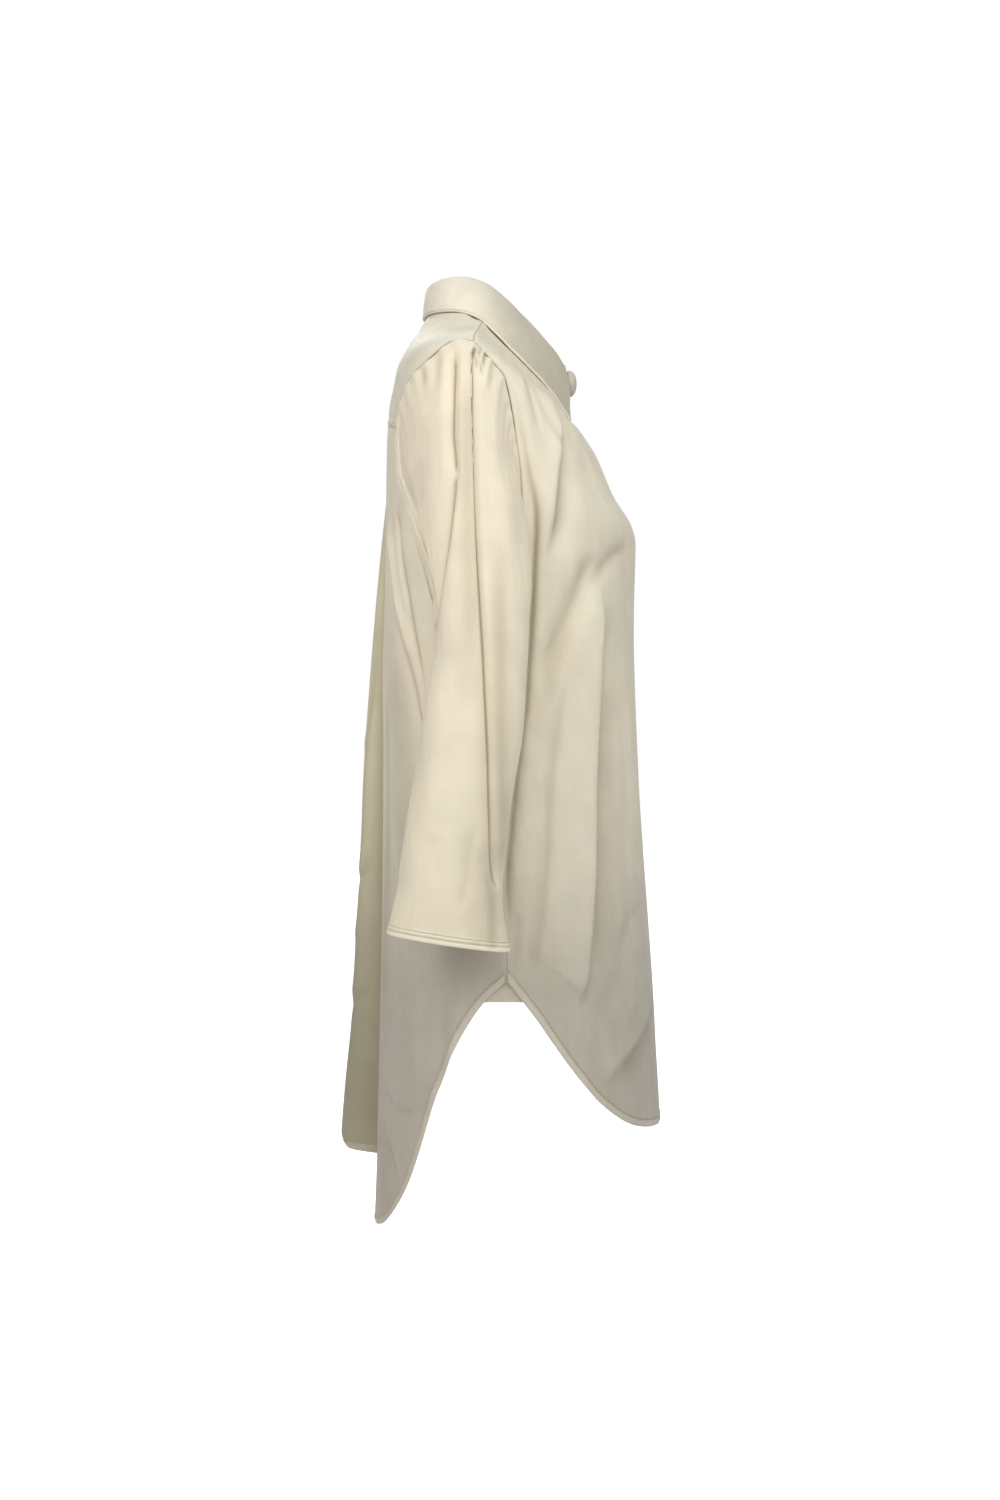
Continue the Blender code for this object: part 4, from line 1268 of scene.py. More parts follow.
# ==== panels of the body
@dataclass
class Sheet:
    """One piece of cloth: the solid it replaces and its finish; its slot and how it is held are kept but not
    used.
    """

    node: str
    slot: str = "crepe"
    finish: str = "cream_crepe"
    held: Held = Held.HUNG

    @property
    def name(self) -> str:
        """Name of the piece."""
        return self.node + "_cloth"

    def make(self, wardrobe: Wardrobe, shell: Shell, thread: Seamstress | None = None) -> None:
        """Make the cloth and its stitches, and say what it was cut to.

        Args:
            wardrobe: the finishes.
            shell: the wall.
            thread: the stitches sewn on it.
        """
        piece = shell.build(wardrobe[self.finish], self.slot)
        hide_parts(self.node)
        width, length, area = shell.cut()
        if thread and thread.rows:
            thread.build(wardrobe["cream_thread"], "crepe")
        points = len(piece.data.vertices)
        LOG.info("%s: %d points, cut %.3f x %.3f m, %.4f m2", self.name, points, width, length, area)


def fold(path: Sequence[Pair], *widths: float, **finish: float) -> Crease:
    """Crease of the body, with its path in degrees round the body and millimetres of height."""
    round_body = FORM.chart_radius / MM
    return crease([(math.radians(angle) * round_body, height) for angle, height in path], *widths, **finish)


BODY_CREASES: tuple[Crease, ...] = (
    # where the sleeve lies against the front, a trough with painted contact shadow
    fold(((75, -83), (71.4, -104), (69.4, -137), (68.8, -173), (68.2, -218), (68.6, -246),
         (69.3, -283), (71, -336), (73, -372), (76.5, -408), (80.2, -452), (84.8, -506), (87, -533),
         (87.8, -560), (88.6, -600)), -3, 6, 6, start=0.3, end=0.14, shade=1),
    # drape that falls from the collar and turns round the bust
    fold(((56, -60), (54.4, -98), (53.2, -121), (54.3, -139), (59.1, -169), (62.7, -194),
         (64.3, -222), (68.1, -249)), 5, 6, 16, start=0.3, end=0.35),
    fold(((50.6, -120), (51.8, -140), (56.4, -166), (59.8, -190), (62, -218), (65, -246)), -8, 13, 5,
         start=0.25, end=0.3, shade=0.7),
    fold(((65.5, -64), (64.2, -98), (61.5, -128)), -2.2, 5, 6, shade=0.2),
    fold(((63.2, -75), (57, -119), (48.8, -149)), -1.6, 6, 6, shade=0.15),
    fold(((50, -95), (40, -130), (30, -180)), 2, 6, 9),
    fold(((44, -90), (34, -125), (24, -170)), -1.6, 7, 6),
    # ridge along the sleeve and the deep slanting trough under the bust, with painted shade in and beside
    # the trough and below the bust
    fold(((65.5, -165), (67.5, -245), (67.5, -283), (70, -350)), 4, 12, 10),
    fold(((55.5, -288), (60.5, -318), (64.5, -355), (68, -392)), -1, 17, 17, start=0.4, end=0.4,
         shade=0.34),
    fold(((47.5, -232), (51, -265), (55.8, -292), (62.5, -332), (68.5, -366)), -10.5, 10, 13,
         start=0.2, end=0.35, shade=0.3),
    fold(((24, -221), (34, -228), (41, -239), (45.5, -254), (49, -276)), -3, 11, 12, start=0.35,
         end=0.35, shade=0.45),
    # flat panel of the front between two lines
    fold(((44.5, -262), (46.8, -328), (48.9, -381), (51.9, -437), (54.5, -499), (58.1, -554),
         (60.9, -606), (61.9, -623), (64, -636), (66.7, -645)), 7.8, 4.5, 24, start=0.1, end=0.06,
         power=1.5),
    fold(((43, -290), (45.4, -328), (47.5, -381), (50.4, -437), (53, -499), (56.6, -554),
         (59.4, -606), (62, -640)), -2.2, 70, 2.4, start=0.35, end=0.2, power=1.5, shade=0.44),
    fold(((39, -270), (41, -330), (43.5, -400), (47.5, -470), (52.5, -560), (57, -625)), -4.2, 17, 7,
         start=0.12, end=0.25, shade=0.22),
    fold(((57, -330), (62.5, -395), (67.9, -461), (70.7, -511), (74.6, -552), (77.1, -579),
         (79.7, -604), (81.6, -630)), -4.4, 4, 18, start=0.25, end=0.1, power=1.4, shade=0.28),
    fold(((70.7, -420), (71.6, -480), (75, -545)), 2.6, 6, 7),
    fold(((84, -560), (86, -590), (88, -620)), -2.8, 6, 6, shade=0.2),
    fold(((56.5, -500), (57, -560), (62, -600)), 1.6, 10, 10),
    # lower front
    fold(((16, -640), (24, -655), (31.3, -669), (42.6, -690), (51.7, -708), (55.3, -721)), 5, 3.4, 16,
         start=0.25, end=0.12, power=1.4),
    fold(((14, -650), (23, -666), (31, -680), (42, -700), (50, -716)), -4, 40, 4, power=1.5,
         shade=0.55),
    fold(((78, -540), (75, -600), (72, -660)), -0.8, 30, 30, shade=0.1),
    fold(((36, -620), (40, -650), (47, -672)), 1.8, 3, 8, power=1.5),
    fold(((30, -560), (38, -578), (46, -602)), -1.4, 6, 4, shade=0.18),
    fold(((24, -300), (26, -430), (31, -600)), 2.6, 18, 22),
    fold(((34, -560), (42, -610), (52, -650), (58, -680)), -2.4, 14, 14),
    fold(((30, -620), (38, -655), (48, -680)), 1.8, 10, 10),
    # back: drag lines that fall from the armhole
    fold(((144.4, -190), (143.4, -205), (137.2, -253), (131.4, -298), (126.4, -326), (121.5, -353)),
         4.4, 5, 6, start=0.2, end=0.35, power=1.8),
    fold(((137, -190), (132.8, -242), (127.3, -285), (124.3, -310), (120.6, -340), (117, -372)), -5,
         6, 3, start=0.15, end=0.3, power=1.5, shade=0.75),
    fold(((158, -180), (147, -214), (142.2, -245), (136.2, -290), (130.5, -325), (126, -352),
         (122, -385), (118, -420)), -5.2, 3.2, 11, start=0.2, end=0.15, power=1.5, shade=0.65),
    fold(((124, -366), (121, -392), (117.5, -430)), 2.6, 4.5, 6),
    # lower back and its lobe
    fold(((127.7, -560), (127.7, -648), (127.3, -689), (128.2, -739)), 3, 12, 14),
    fold(((114.5, -628), (116.8, -659), (117.1, -694), (120.1, -730)), -3.6, 9, 10, start=0.3,
         end=0.3, shade=0.12),
    fold(((146, -480), (146.8, -604), (147.9, -680), (149, -740)), -2.6, 14, 14),
    fold(((159, -250), (158, -420), (155, -600), (152, -760)), 2.6, 14, 18),
    fold(((112, -430), (111, -520), (108, -590)), -2.2, 16, 18),
    fold(((156, -764), (150, -780), (143, -797), (138, -815)), -2.6, 4, 6, shade=0.3, power=1.5),
    # painted shadow where the sleeve lies over the back, and painted shade at the tip of the lobe
    fold(((142, -300), (139, -400), (136, -500), (131, -580)), -1, 80, 70, start=0.35, end=0.35,
         shade=0.3),
    fold(((162, -770), (154, -810), (144, -860)), -0.6, 60, 60, shade=0.28),
    # turn of the back towards its free edge, with painted shade where it turns from the light
    fold(((149, -310), (152.5, -400), (152.5, -500), (153, -600), (154, -720)), -0.4, 20, 14,
         start=0.25, end=0.3, shade=0.4),
    fold(((152, -735), (140, -748), (128, -742)), -2, 5, 3, shade=0.25),
    fold(((160, -700), (150, -718), (139, -722)), 1.8, 3, 7, power=1.5),
    fold(((153, -781), (142, -770), (131, -762)), 1.6, 3, 6),
    fold(((165, -826), (150, -812), (136, -800)), 1.6, 3, 6),
)
BODY_RELIEF = Relief(BODY_CREASES)


@dataclass
class Panel:
    """A patch of the body's skin that becomes one piece of the shirt."""

    sheet: Sheet
    side: Side
    places: Array
    edges: dict[Rim, Edge]
    seams: tuple[Rim, ...]
    lift: Array | float = 0.0
    salt: int = 1
    relief: Relief = BODY_RELIEF
    settle: float = 0.014
    under_collar: Pair = (0.002, 0.018)

    def shape(self) -> Shell:
        """Work out the wall of the panel on the wearer's right side, then turn it over."""
        under = np.broadcast_to(self.lift, self.places.shape[:2])[..., None]
        stack = np.concatenate([self.places, under], -1)
        for rim, finish in self.edges.items():
            stack = respaced(stack, FORM.bare(stack[..., 0], stack[..., 1]), rim, finish.lines)
        angle, ring, under = np.moveaxis(stack, -1, 0)
        base, normal = FORM.bare(angle, ring), FORM.normal(angle, ring)
        creased, tone = self.relief.at(*FORM.chart(angle, base), self.side, self.salt)
        shown = smoothstep(*self.under_collar, read(COLLAR_LINE, base[..., 1]) - base[..., 2])
        for rim in self.seams:
            shown = shown * smoothstep(0.0, self.settle, edge_distance(base, rim))
        lift = under + creased * shown
        marks = np.zeros_like(base)
        # painted shade along the creases, and painted dimmer towards the bottom of the body
        marks[..., 1] = tone * shown
        marks[..., 2] = smoothstep(*PAINTED_DIM_DEPTHS, -base[..., 2])
        for rim, finish in self.edges.items():
            lift = lift + finish.mark(marks, edge_distance(base, rim))
        outer = base + normal * lift[..., None]
        for rim in self.seams:
            line, inside = rim.line(0), rim.line(1)
            outer[line] = outer[line] + unit(outer[inside] - outer[line]) * SEAM_TRIM
        facing, flipped = wall_facing(outer, normal), wound_inward(outer, normal)
        return Shell(self.sheet.name, outer, facing, marks=marks, flipped=flipped).on(self.side)

    def build(self, wardrobe: Wardrobe) -> None:
        """Make the piece and its stitches."""
        shell = self.shape()
        thread = Seamstress(self.sheet.node + "_stitches")
        thread.sew_edges(shell, self.edges)
        self.sheet.make(wardrobe, shell, thread)


@dataclass
class Fronts:
    """Both fronts, lapped at the centre over a hidden button band."""

    fly_hem_lift: float = 0.01
    ring_height: float = 0.19
    tuck_from: float = 0.018
    tuck_run: float = 0.018

    def places(self) -> Array:
        """Places of a front, from the centre edge to the armhole and the side seam."""
        p = PATTERN
        armhole = FORM.along(p.armhole_front, p.armhole_front_steps)
        side = FORM.along(p.side_seam, p.side_steps)
        right = np.concatenate([shoulder_places(), armhole[1:], side[1:]])
        hem_places = FORM.hem_line(p.hem_front, p.front_columns)[::-1]
        hem_places[-1] = right[-1]
        rings = np.concatenate([
            np.linspace(0, FORM.shoulder, p.shoulder_steps + 1),
            np.linspace(FORM.shoulder, FORM.underarm, p.armhole_front_steps + 1)[1:],
            np.linspace(FORM.underarm, hem_places[0, 1], p.side_steps + 1)[1:],
        ])
        overlap = overlap_angle(rings)
        left = np.stack([overlap, rings], 1)
        share = np.linspace(0, 1, p.front_columns + 1)
        top = np.stack([left[0, 0] + (90.0 - left[0, 0]) * share, np.zeros(share.shape)], 1)
        bottom = hem_places + (left[-1] - hem_places[0]) * (1 - share[:, None]) ** p.hem_corner_power
        turns = np.linspace(-1, 1, p.placket_columns + 1)[:-1]
        placket = np.stack([np.stack([overlap * turn, rings], 1) for turn in turns], 1)
        return np.concatenate([placket, FORM.patch(left, right, top, bottom)], 1)

    def build(self, wardrobe: Wardrobe) -> None:
        """Make both fronts and the band between them."""
        places = self.places()
        edges = {Rim.BOTTOM: BODY_HEM, Rim.RIGHT: PLAIN_SEAM, Rim.LEFT: FREE_EDGE}
        seams = (Rim.TOP, Rim.RIGHT)
        Panel(Sheet("front_right"), Side.RIGHT, places, edges, seams).build(wardrobe)
        from_centre = -FORM.bare(places[..., 0], places[..., 1])[..., 0]
        tucked = 1 - smoothstep(self.tuck_from, self.tuck_from + self.tuck_run, from_centre)
        lift = -(LAYER + LOOSE_LAYER) * tucked
        Panel(Sheet("front_left"), Side.LEFT, places, edges, seams, lift).build(wardrobe)
        band = places[:, :PATTERN.placket_columns + 1].copy()
        band[-1, :, 1] -= self.fly_hem_lift / self.ring_height
        fly = Sheet("placket_fly", "crepe_shade")
        Panel(fly, Side.RIGHT, band, {Rim.BOTTOM: BODY_HEM}, (Rim.TOP,), -LAYER).build(wardrobe)


@dataclass
class Yoke:
    """Back yoke in one piece, from shoulder seam to shoulder seam."""

    ripple: Ripple = Ripple(0.00035, 0.06, 0.06)

    def places(self) -> Array:
        """Places of the whole yoke, the wearer's right half first."""
        p = PATTERN
        upper, _ = armhole_back()
        side = np.concatenate([shoulder_places(), upper[1:]])
        seam = yoke_seam_places()
        rings = np.concatenate([
            np.linspace(0, p.yoke_middle, p.shoulder_steps + 1),
            np.linspace(p.yoke_middle, seam[-1, 1], p.armhole_yoke_steps + 1)[1:],
        ])
        centre = np.stack([np.full(len(side), 180.0), rings], 1)
        share = (seam[:, 0] - seam[0, 0]) / (seam[-1, 0] - seam[0, 0])
        neck = np.stack([90.0 + 90.0 * share, np.zeros(share.shape)], 1)
        half = FORM.patch(side, centre, neck, seam)
        other = half[:, -2::-1].copy()
        other[..., 0] = 360.0 - other[..., 0]
        return np.concatenate([half, other], 1)

    def build(self, wardrobe: Wardrobe) -> None:
        """Make the yoke."""
        edges = {Rim.BOTTOM: YOKE_FELL, Rim.LEFT: SHOULDER_SEAM, Rim.RIGHT: SHOULDER_SEAM}
        Panel(
            Sheet("yoke", finish="yoke_crepe"), Side.RIGHT, self.places(), edges, tuple(Rim), salt=5,
            relief=Relief(ripple=self.ripple),
        ).build(wardrobe)


@dataclass
class Back:
    """Both back halves and the pleat underlay between their free edges."""

    tuck: float = 0.014
    hem_height: float = -0.812
    rise: float = 0.004
    section: Table = (
        (0, 1), (0.22, 1), (0.42, 0.97), (0.6, 0.8), (0.78, 0.45), (0.95, 0),
    )
    crown: Table = (
        (-0.09, -0.0022), (-0.14, 0.0005), (-0.227, 0.0078), (-0.33, 0.016), (-0.43, 0.0215),
        (-0.58, 0.0262), (-0.68, 0.0298), (-0.75, 0.0345), (-0.9, 0.042),
    )
    section_columns: int = 22
    hidden_columns: int = 5
    pleat_rows: int = 140
    curl: float = 0.008
    curl_reach: float = 0.016
    crown_shown: float = 0.5
    # painted shade where the pleat meets the halves' free edges, and painted dimmer towards the bottom
    edge_shade: float = 0.6
    shaded_rise: Pair = (0.1, 0.7)
    painted_dim_span: Pair = (0.4, 0.74)
    pleat_ripple: Ripple = Ripple(0.0003, 0.03, 0.16)
    pleat_seed: int = 41

    def places(self) -> Array:
        """Places of a back half, from the armhole and side seam to the free centre edge."""
        p = PATTERN
        _, armhole = armhole_back()
        side = FORM.along(p.side_seam, p.side_steps)
        left = np.concatenate([armhole, side[1:]])
        top = yoke_seam_places()[:-1]
        hem_places = FORM.hem_line(p.hem_back, p.back_columns)
        hem_places[0] = left[-1]
        start, end = FORM.bare(*top[-1])[2], FORM.bare(*hem_places[-1])[2]
        level = FORM.bare(180.0, FORM.underarm)[2]
        heights = np.concatenate([
            np.linspace(start, level, len(armhole)),
            np.linspace(level, end, p.side_steps + 1)[1:],
        ])
        angles = read(p.back_edge, heights)
        right = np.stack([angles, FORM.ring_at(heights, angles)], 1)
        right[0], right[-1] = top[-1], hem_places[-1]
        return FORM.patch(left, right, top, hem_places, p.back_crowding)

    def pleat_places(self) -> tuple[Array, Array]:
        """Places of the pleat with their lift, and how far each is crowned, from 0 to 1.

        Returns:
            The places with their lift, and the share of the crown at each.
        """
        p = PATTERN
        top = FORM.bare(p.back_edge[0][1], float(read(p.yoke_seam, p.back_edge[0][1])))[2]
        heights = np.linspace(top + self.rise, self.hem_height, self.pleat_rows)
        edge_turn = 180.0 - read(p.back_edge, heights)
        tuck_turn = np.degrees(self.tuck / FORM.half_width(FORM.ring_at(heights, 180.0 - edge_turn)))
        section = np.array(self.section)
        share = np.linspace(0, section[-1, 0], self.section_columns)
        hidden_share = np.linspace(0, 1, self.hidden_columns)[1:]
        half = edge_turn[:, None] * share[None, :]
        hidden = half[:, -1:] + (edge_turn + tuck_turn - half[:, -1])[:, None] * hidden_share[None, :]
        half = np.concatenate([half, hidden], 1)
        rise = np.append(smooth(section[:, 0], section[:, 1], share), np.zeros(len(hidden_share)))
        angle = 180.0 + np.concatenate([-half[:, :0:-1], half], 1)
        rise = np.concatenate([rise[:0:-1], rise])[None, :]
        lift = (read(self.crown, heights)[:, None] + LOOSE_LAYER) * rise - LOOSE_LAYER
        ring = np.stack([FORM.ring_at(heights, column) for column in angle.T], 1)
        stack = np.stack([angle, ring, lift], -1)
        return respaced(stack, FORM.bare(angle, ring), Rim.BOTTOM, BODY_HEM.lines), rise

    def pleat_shell(self, sheet: Sheet) -> Shell:
        """Wall of the pleat underlay, crowned where it swings out behind the halves.

        Args:
            sheet: name and finish of the piece.

        Returns:
            The wall.
        """
        stack, rise = self.pleat_places()
        angle, ring, lift = np.moveaxis(stack, -1, 0)
        base, normal = FORM.bare(angle, ring), FORM.normal(angle, ring)
        across, height = np.radians(angle - 180.0) * FORM.chart_radius, base[..., 2]
        distance = edge_distance(base, Rim.BOTTOM)
        shown = smoothstep(0.0, self.crown_shown, rise)
        marks = np.zeros_like(base)
        lift = lift + BODY_HEM.mark(marks, distance)
        lift = lift - self.curl * np.clip(1 - distance / self.curl_reach, 0, 1) ** 2 * rise
        for fold in PLEAT_CREASES:
            added, tone = fold.relief(across, height)
            lift = lift + shown * added
            marks[..., 1] = np.maximum(marks[..., 1], tone * shown)
        lift = lift + shown * self.pleat_ripple.relief(across, height, self.pleat_seed)
        outer = base + normal * lift[..., None]
        # painted shade beside the halves' free edges and towards the bottom
        edge_painted_shade = self.edge_shade * (1 - smoothstep(*self.shaded_rise, rise))
        marks[..., 1] = np.maximum(marks[..., 1], edge_painted_shade)
        marks[..., 2] = smoothstep(*self.painted_dim_span, -height)
        facing, flipped = wall_facing(outer, normal), wound_inward(outer, normal)
        return Shell(sheet.name, outer, facing, marks=marks, flipped=flipped)

    def build(self, wardrobe: Wardrobe) -> None:
        """Make the halves and the underlay."""
        places = self.places()
        edges = {Rim.BOTTOM: BODY_HEM, Rim.RIGHT: FREE_EDGE, Rim.LEFT: PLAIN_SEAM}
        for side in Side:
            sheet = Sheet(side.named("back"))
            Panel(sheet, side, places, edges, (Rim.TOP, Rim.LEFT), salt=2).build(wardrobe)
        pleat = Sheet("back_pleat", "crepe_shade", "pleat_crepe_painted_shade")
        shell = self.pleat_shell(pleat)
        thread = Seamstress("back_pleat_stitches")
        thread.sew_edges(shell, {Rim.BOTTOM: BODY_HEM})
        pleat.make(wardrobe, shell, thread)


PLEAT_CREASES: tuple[Crease, ...] = (
    crease(((-34, -400), (0, -412), (34, -405)), 0.8, 5, 8),
    crease(((-36, -500), (-12, -536), (14, -530), (36, -498)), 1, 4, 12),
    crease(((-36, -512), (-8, -548), (16, -545), (36, -512)), -0.9, 7, 5, shade=0.45),
    crease(((-36, -590), (0, -600), (36, -596)), 0.8, 6, 12),
    crease(((-36, -622), (-14, -655), (12, -660), (36, -626)), 1, 4, 14),
    crease(((-36, -634), (-12, -668), (14, -674), (36, -638)), -1, 8, 4, shade=0.6),
    crease(((-14, -250), (-18, -450), (-18, -640), (-17, -800)), 0.4, 4, 4, shade=0.35),
)


@dataclass
class VentGussets:
    """Flat-bottomed triangle behind the top of each side vent."""

    rise: float = 0.006
    bottom: float = -0.641
    tuck_back: float = 0.004
    tuck_front: float = 0.0075
    layer: float = 0.0026
    rows: int = 16
    columns: int = 22
    shadow: float = 0.6
    bow: float = 0.0007
    run_lines: int = 6
    tack_rows: tuple[float, ...] = (-0.0012, -0.0004, 0.0004, 0.0012)
    tack_ends: Pair = (0.007, -0.001)
    tack_lift: float = 0.0014

    def wall(self, front: Array, back: Array) -> tuple[Array, Array, Array]:
        """Points of the right gusset, its outward direction and the top of the vent.

        Args:
            front, back: places of the two panels.

        Returns:
            The grid of points, one outward direction and the top point.
        """
        top = FORM.bare(*back[-1, 0])
        back_run = FORM.bare(*back[-1, self.run_lines]) - top
        front_run = FORM.bare(*front[-1, -1 - self.run_lines]) - top
        outward = FORM.normal(*back[-1, 0])
        share = np.linspace(0, 1, self.columns + 1)[:, None]
        lines = []
        for height in np.linspace(top[2] + self.rise, self.bottom, self.rows + 1):
            drop = min(height - top[2], 0.0)
            back_edge = top + back_run * (drop / back_run[2])
            front_edge = top + front_run * (drop / front_run[2])
            back_edge[1] += self.tuck_back
            front_edge[1] -= self.tuck_front
            back_edge[2] = front_edge[2] = height
            lines.append(back_edge + (front_edge - back_edge) * share)
        bow = np.sin(np.pi * share[None])
        return np.array(lines) + outward * (self.bow * bow - self.layer), outward, top

    def build(self, wardrobe: Wardrobe) -> None:
        """Make both gussets."""
        outer, outward, top = self.wall(Fronts().places(), Back().places())
        facing = np.broadcast_to(outward, outer.shape).copy()
        marks = np.zeros_like(outer)
        marks[..., 2] = self.shadow
        for side in Side:
            sheet = Sheet(side.named("vent_gusset"), "crepe_shade", held=Held.STRETCHED)
            shell = Shell(sheet.name, outer, facing, marks=marks).on(side)
            thread = Seamstress(sheet.node + "_tack", pitch=0.0012, gap=0.0003, radius=0.0003)
            for offset in self.tack_rows:
                ends = np.array([[0.0, offset, rise] for rise in self.tack_ends]) + top
                line = ends if side is Side.RIGHT else mirrored(ends)
                line = line + shell.normal[0, :2] * self.tack_lift
                thread.sew(line, shell.normal[0, :2])
            sheet.make(wardrobe, shell, thread)


# ==== sleeves
# lines of the sleeve's long creases, and the stretches that more than one crease follows
FRONT_LINE = (
    (23.9, -54), (23.4, -80), (23, -106), (22.6, -135), (22, -181), (20.4, -234), (17.3, -288),
    (12.9, -357), (9.3, -409), (6.2, -460), (1.8, -521), (0, -540),
)
HEAD_LINE = ((40.8, -72), (42, -105), (43, -134), (41.2, -157))
LOWER_LINE = ((43, -198), (49, -243), (56.5, -287), (61, -318))


@dataclass
class Sleeves:
    """Set-in sleeves, gathered at the head and open at the hem."""

    columns: tuple[str, ...] = ("height", "centre_x", "centre_y", "half_x", "half_y")
    sections: Table = (
        (-0.336, -0.249, 0.0175, 0.0335, 0.0405),   # upper arm
        (-0.42, -0.255, 0.0262, 0.0355, 0.0448),   # elbow
        (-0.49, -0.2595, 0.0378, 0.036, 0.045),   # forearm
        (-0.535, -0.262, 0.0428, 0.0355, 0.0458),   # low
        (-0.584, -0.264, 0.0445, 0.0345, 0.0535),   # hem
    )
    hem_tilt: float = 0.146
    # how far the cap is drawn out of the armhole, at its top and under the arm
    pull_top: float = 0.115
    pull_underarm: float = 0.018
    pull_power: float = 1.3
    fall_top: float = 0.2
    fall_underarm: float = 0.02
    cap_lift: float = 0.35
    fan_rounds: int = 120
    cap_rows: int = 84
    tube_rows: int = 92
    # turns round the arm between which its back lies flat, fading in and out
    flat_turns: tuple[float, ...] = (55.0, 95.0, 168.0, 180.0)
    flat_back: float = 2.0
    flat_reach: float = 0.8
    # turns between which the back of the cap is tucked in, clear of the felled band
    tuck_turns: tuple[float, ...] = (60.0, 95.0, 125.0, 160.0)
    band_clear: Pair = (0.006, 0.024)
    swell_clear: Pair = (0.0, 0.03)
    swell_power: float = 1.5
    front_swell: Table = (
        (-0.06, 0), (-0.12, 0.0005), (-0.16, 0.002), (-0.2, 0.006), (-0.235, 0.0095),
        (-0.27, 0.0085), (-0.305, 0.004), (-0.34, 0.0015), (-0.4, 0), (-0.45, -0.002), (-0.5, 0),
    )
    back_tuck: Table = (
        (-0.16, 0), (-0.19, 0.003), (-0.215, 0.007), (-0.24, 0.0085), (-0.26, 0.0065), (-0.28, 0.0028),
        (-0.3, 0.0004), (-0.335, 0),
    )
    outer_creases: tuple[Crease, ...] = (
        # the long front crease, from the head to the hem
        crease(FRONT_LINE, -3.4, 2.6, 3, start=0.01, end=0.02, power=1.4, shade=0.85),
        crease(FRONT_LINE, -3, 3.6, 12, start=0.04, end=0.03),
        # the back crease at the head, and the lower one under which the back of the cap lies
        crease(((41.5, -51), *HEAD_LINE, (38.9, -180)), -4.6, 7, 4, start=0.12, end=0.06, power=1.4,
               shade=0.12),
        crease(((39.5, -166), *LOWER_LINE, (64, -335)), -5, 3, 12, start=0.15, end=0.03, power=1.4,
               shade=0.1),
        crease(((41.5, -56), *HEAD_LINE, (40, -176)), -2.2, 2.2, 2.6, start=0.1, end=0.1, power=1.4,
               shade=0.7),
        crease(((40.3, -172), *LOWER_LINE, (64, -335)), -2.4, 2.2, 2.6, start=0.05, end=0.05, power=1.4,
               shade=0.7),
        # edge of the flat band between them
        crease(((36.7, -54), (35.8, -106), (35.3, -153), (35.4, -190)), 1.4, 3, 2.4),
        # tucks in front of the long crease, and the puffs between
        crease(((22.2, -53), (21.6, -60), (21.2, -66)), -4, 1.6, 2.2, start=0.1, end=0.5, power=1.4,
               shade=0.9),
        crease(((17.6, -54), (19.2, -64), (20.5, -76)), -3, 1.6, 1.8, start=0.15, end=0.5, power=1.4,
               shade=0.6),
        crease(((12.8, -56), (14.5, -68), (16.8, -84)), -3, 1.6, 1.8, start=0.2, end=0.5, power=1.4,
               shade=0.6),
        crease(((19.8, -53), (20.2, -62), (21, -70)), 1.8, 1.6, 1.6, start=0.1, end=0.5),
        crease(((15, -55), (16.5, -66), (18.5, -80)), 2, 1.8, 1.8, start=0.1, end=0.5),
        crease(((6, -64), (7, -80), (9.5, -100)), -1.4, 2.2, 2.6, start=0.2, end=0.5, shade=0.2),
        crease(((9.5, -60), (11, -76), (13, -96)), 1.6, 2.6, 2.6, start=0.2, end=0.5),
        # back of the head
        crease(((70, -66), (69.5, -80), (69, -100)), -2, 1.8, 4, start=0.2, end=0.5, power=1.6, shade=0.35),
        crease(((56, -58), (57, -75), (59, -100)), -1.6, 5, 5, start=0.2, end=0.5, shade=0.15),
        crease(((50, -56), (51, -80), (54, -130)), 1.6, 5, 6, start=0.2, end=0.5),
        # soft folds of the lower sleeve, with painted shade towards its front corner
        crease(((18.8, -470), (26.5, -520), (34.2, -560)), -2.2, 5, 7, start=0.3, end=0.25, shade=0.22),
        crease(((14, -510), (16.5, -540), (20, -585)), 1, 5, 6, start=0.3, end=0.1),
        crease(((19, -470), (18, -530), (17, -590)), -1.2, 44, 24, start=0.35, end=0.05, shade=0.22),
        crease(((10, -500), (7.5, -545), (6, -590)), -0.6, 13, 11, start=0.45, end=0.05, shade=0.55),
        # turn of the cloth between the two long creases, shown with painted shade, and soft swells
        crease(((0, -210), (-1, -323), (-0.5, -374), (-1.7, -426), (-3.4, -485), (0, -537)), -1.6, 14, 18,
               start=0.25, end=0.1, shade=0.42),
        crease(((29, -70), (29.2, -150), (29, -203), (27.5, -289), (27, -400)), -0.8, 20, 16, start=0.15,
               end=0.35, shade=0.34),
        crease(((30, -494), (52, -490), (76, -480)), 0.6, 6, 6, start=0.3, end=0.3),
        crease(((50, -330), (56, -400), (66, -480)), 2, 12, 12, start=0.3, end=0.3),
        crease(((-4, -160), (-8, -250), (-6, -360)), 2, 8, 10, start=0.25, end=0.3),
    )
    inner_creases: tuple[Crease, ...] = (
        crease(((30, -330), (32, -420), (42, -540)), -3.5, 7, 9),
        crease(((10, -310), (16, -400), (28, -500)), 3, 8, 8),
        crease(((48, -320), (56, -400), (64, -480)), 2.5, 8, 8),
    )
    guides: tuple[Table, ...] = (
        FRONT_LINE, ((41.5, -51), *HEAD_LINE, (40, -176), *LOWER_LINE, (66, -450), (72, -560)),
    )
    guide_lines: tuple[float, ...] = (-0.002, -0.0013, -0.0007, 0.0, 0.0007, 0.0013, 0.002)
    guide_reach: float = 0.003
    outside_from: Pair = (-0.25, 0.15)
    outer_ripple: Ripple = Ripple(0.0004, 0.03, 0.12)
    outer_salt: int = 21
    inner_salt: int = 22
    wander: float = 0.004
    gathers: int = 17
    gather_height: float = 0.0013
    gather_reach: float = 0.02
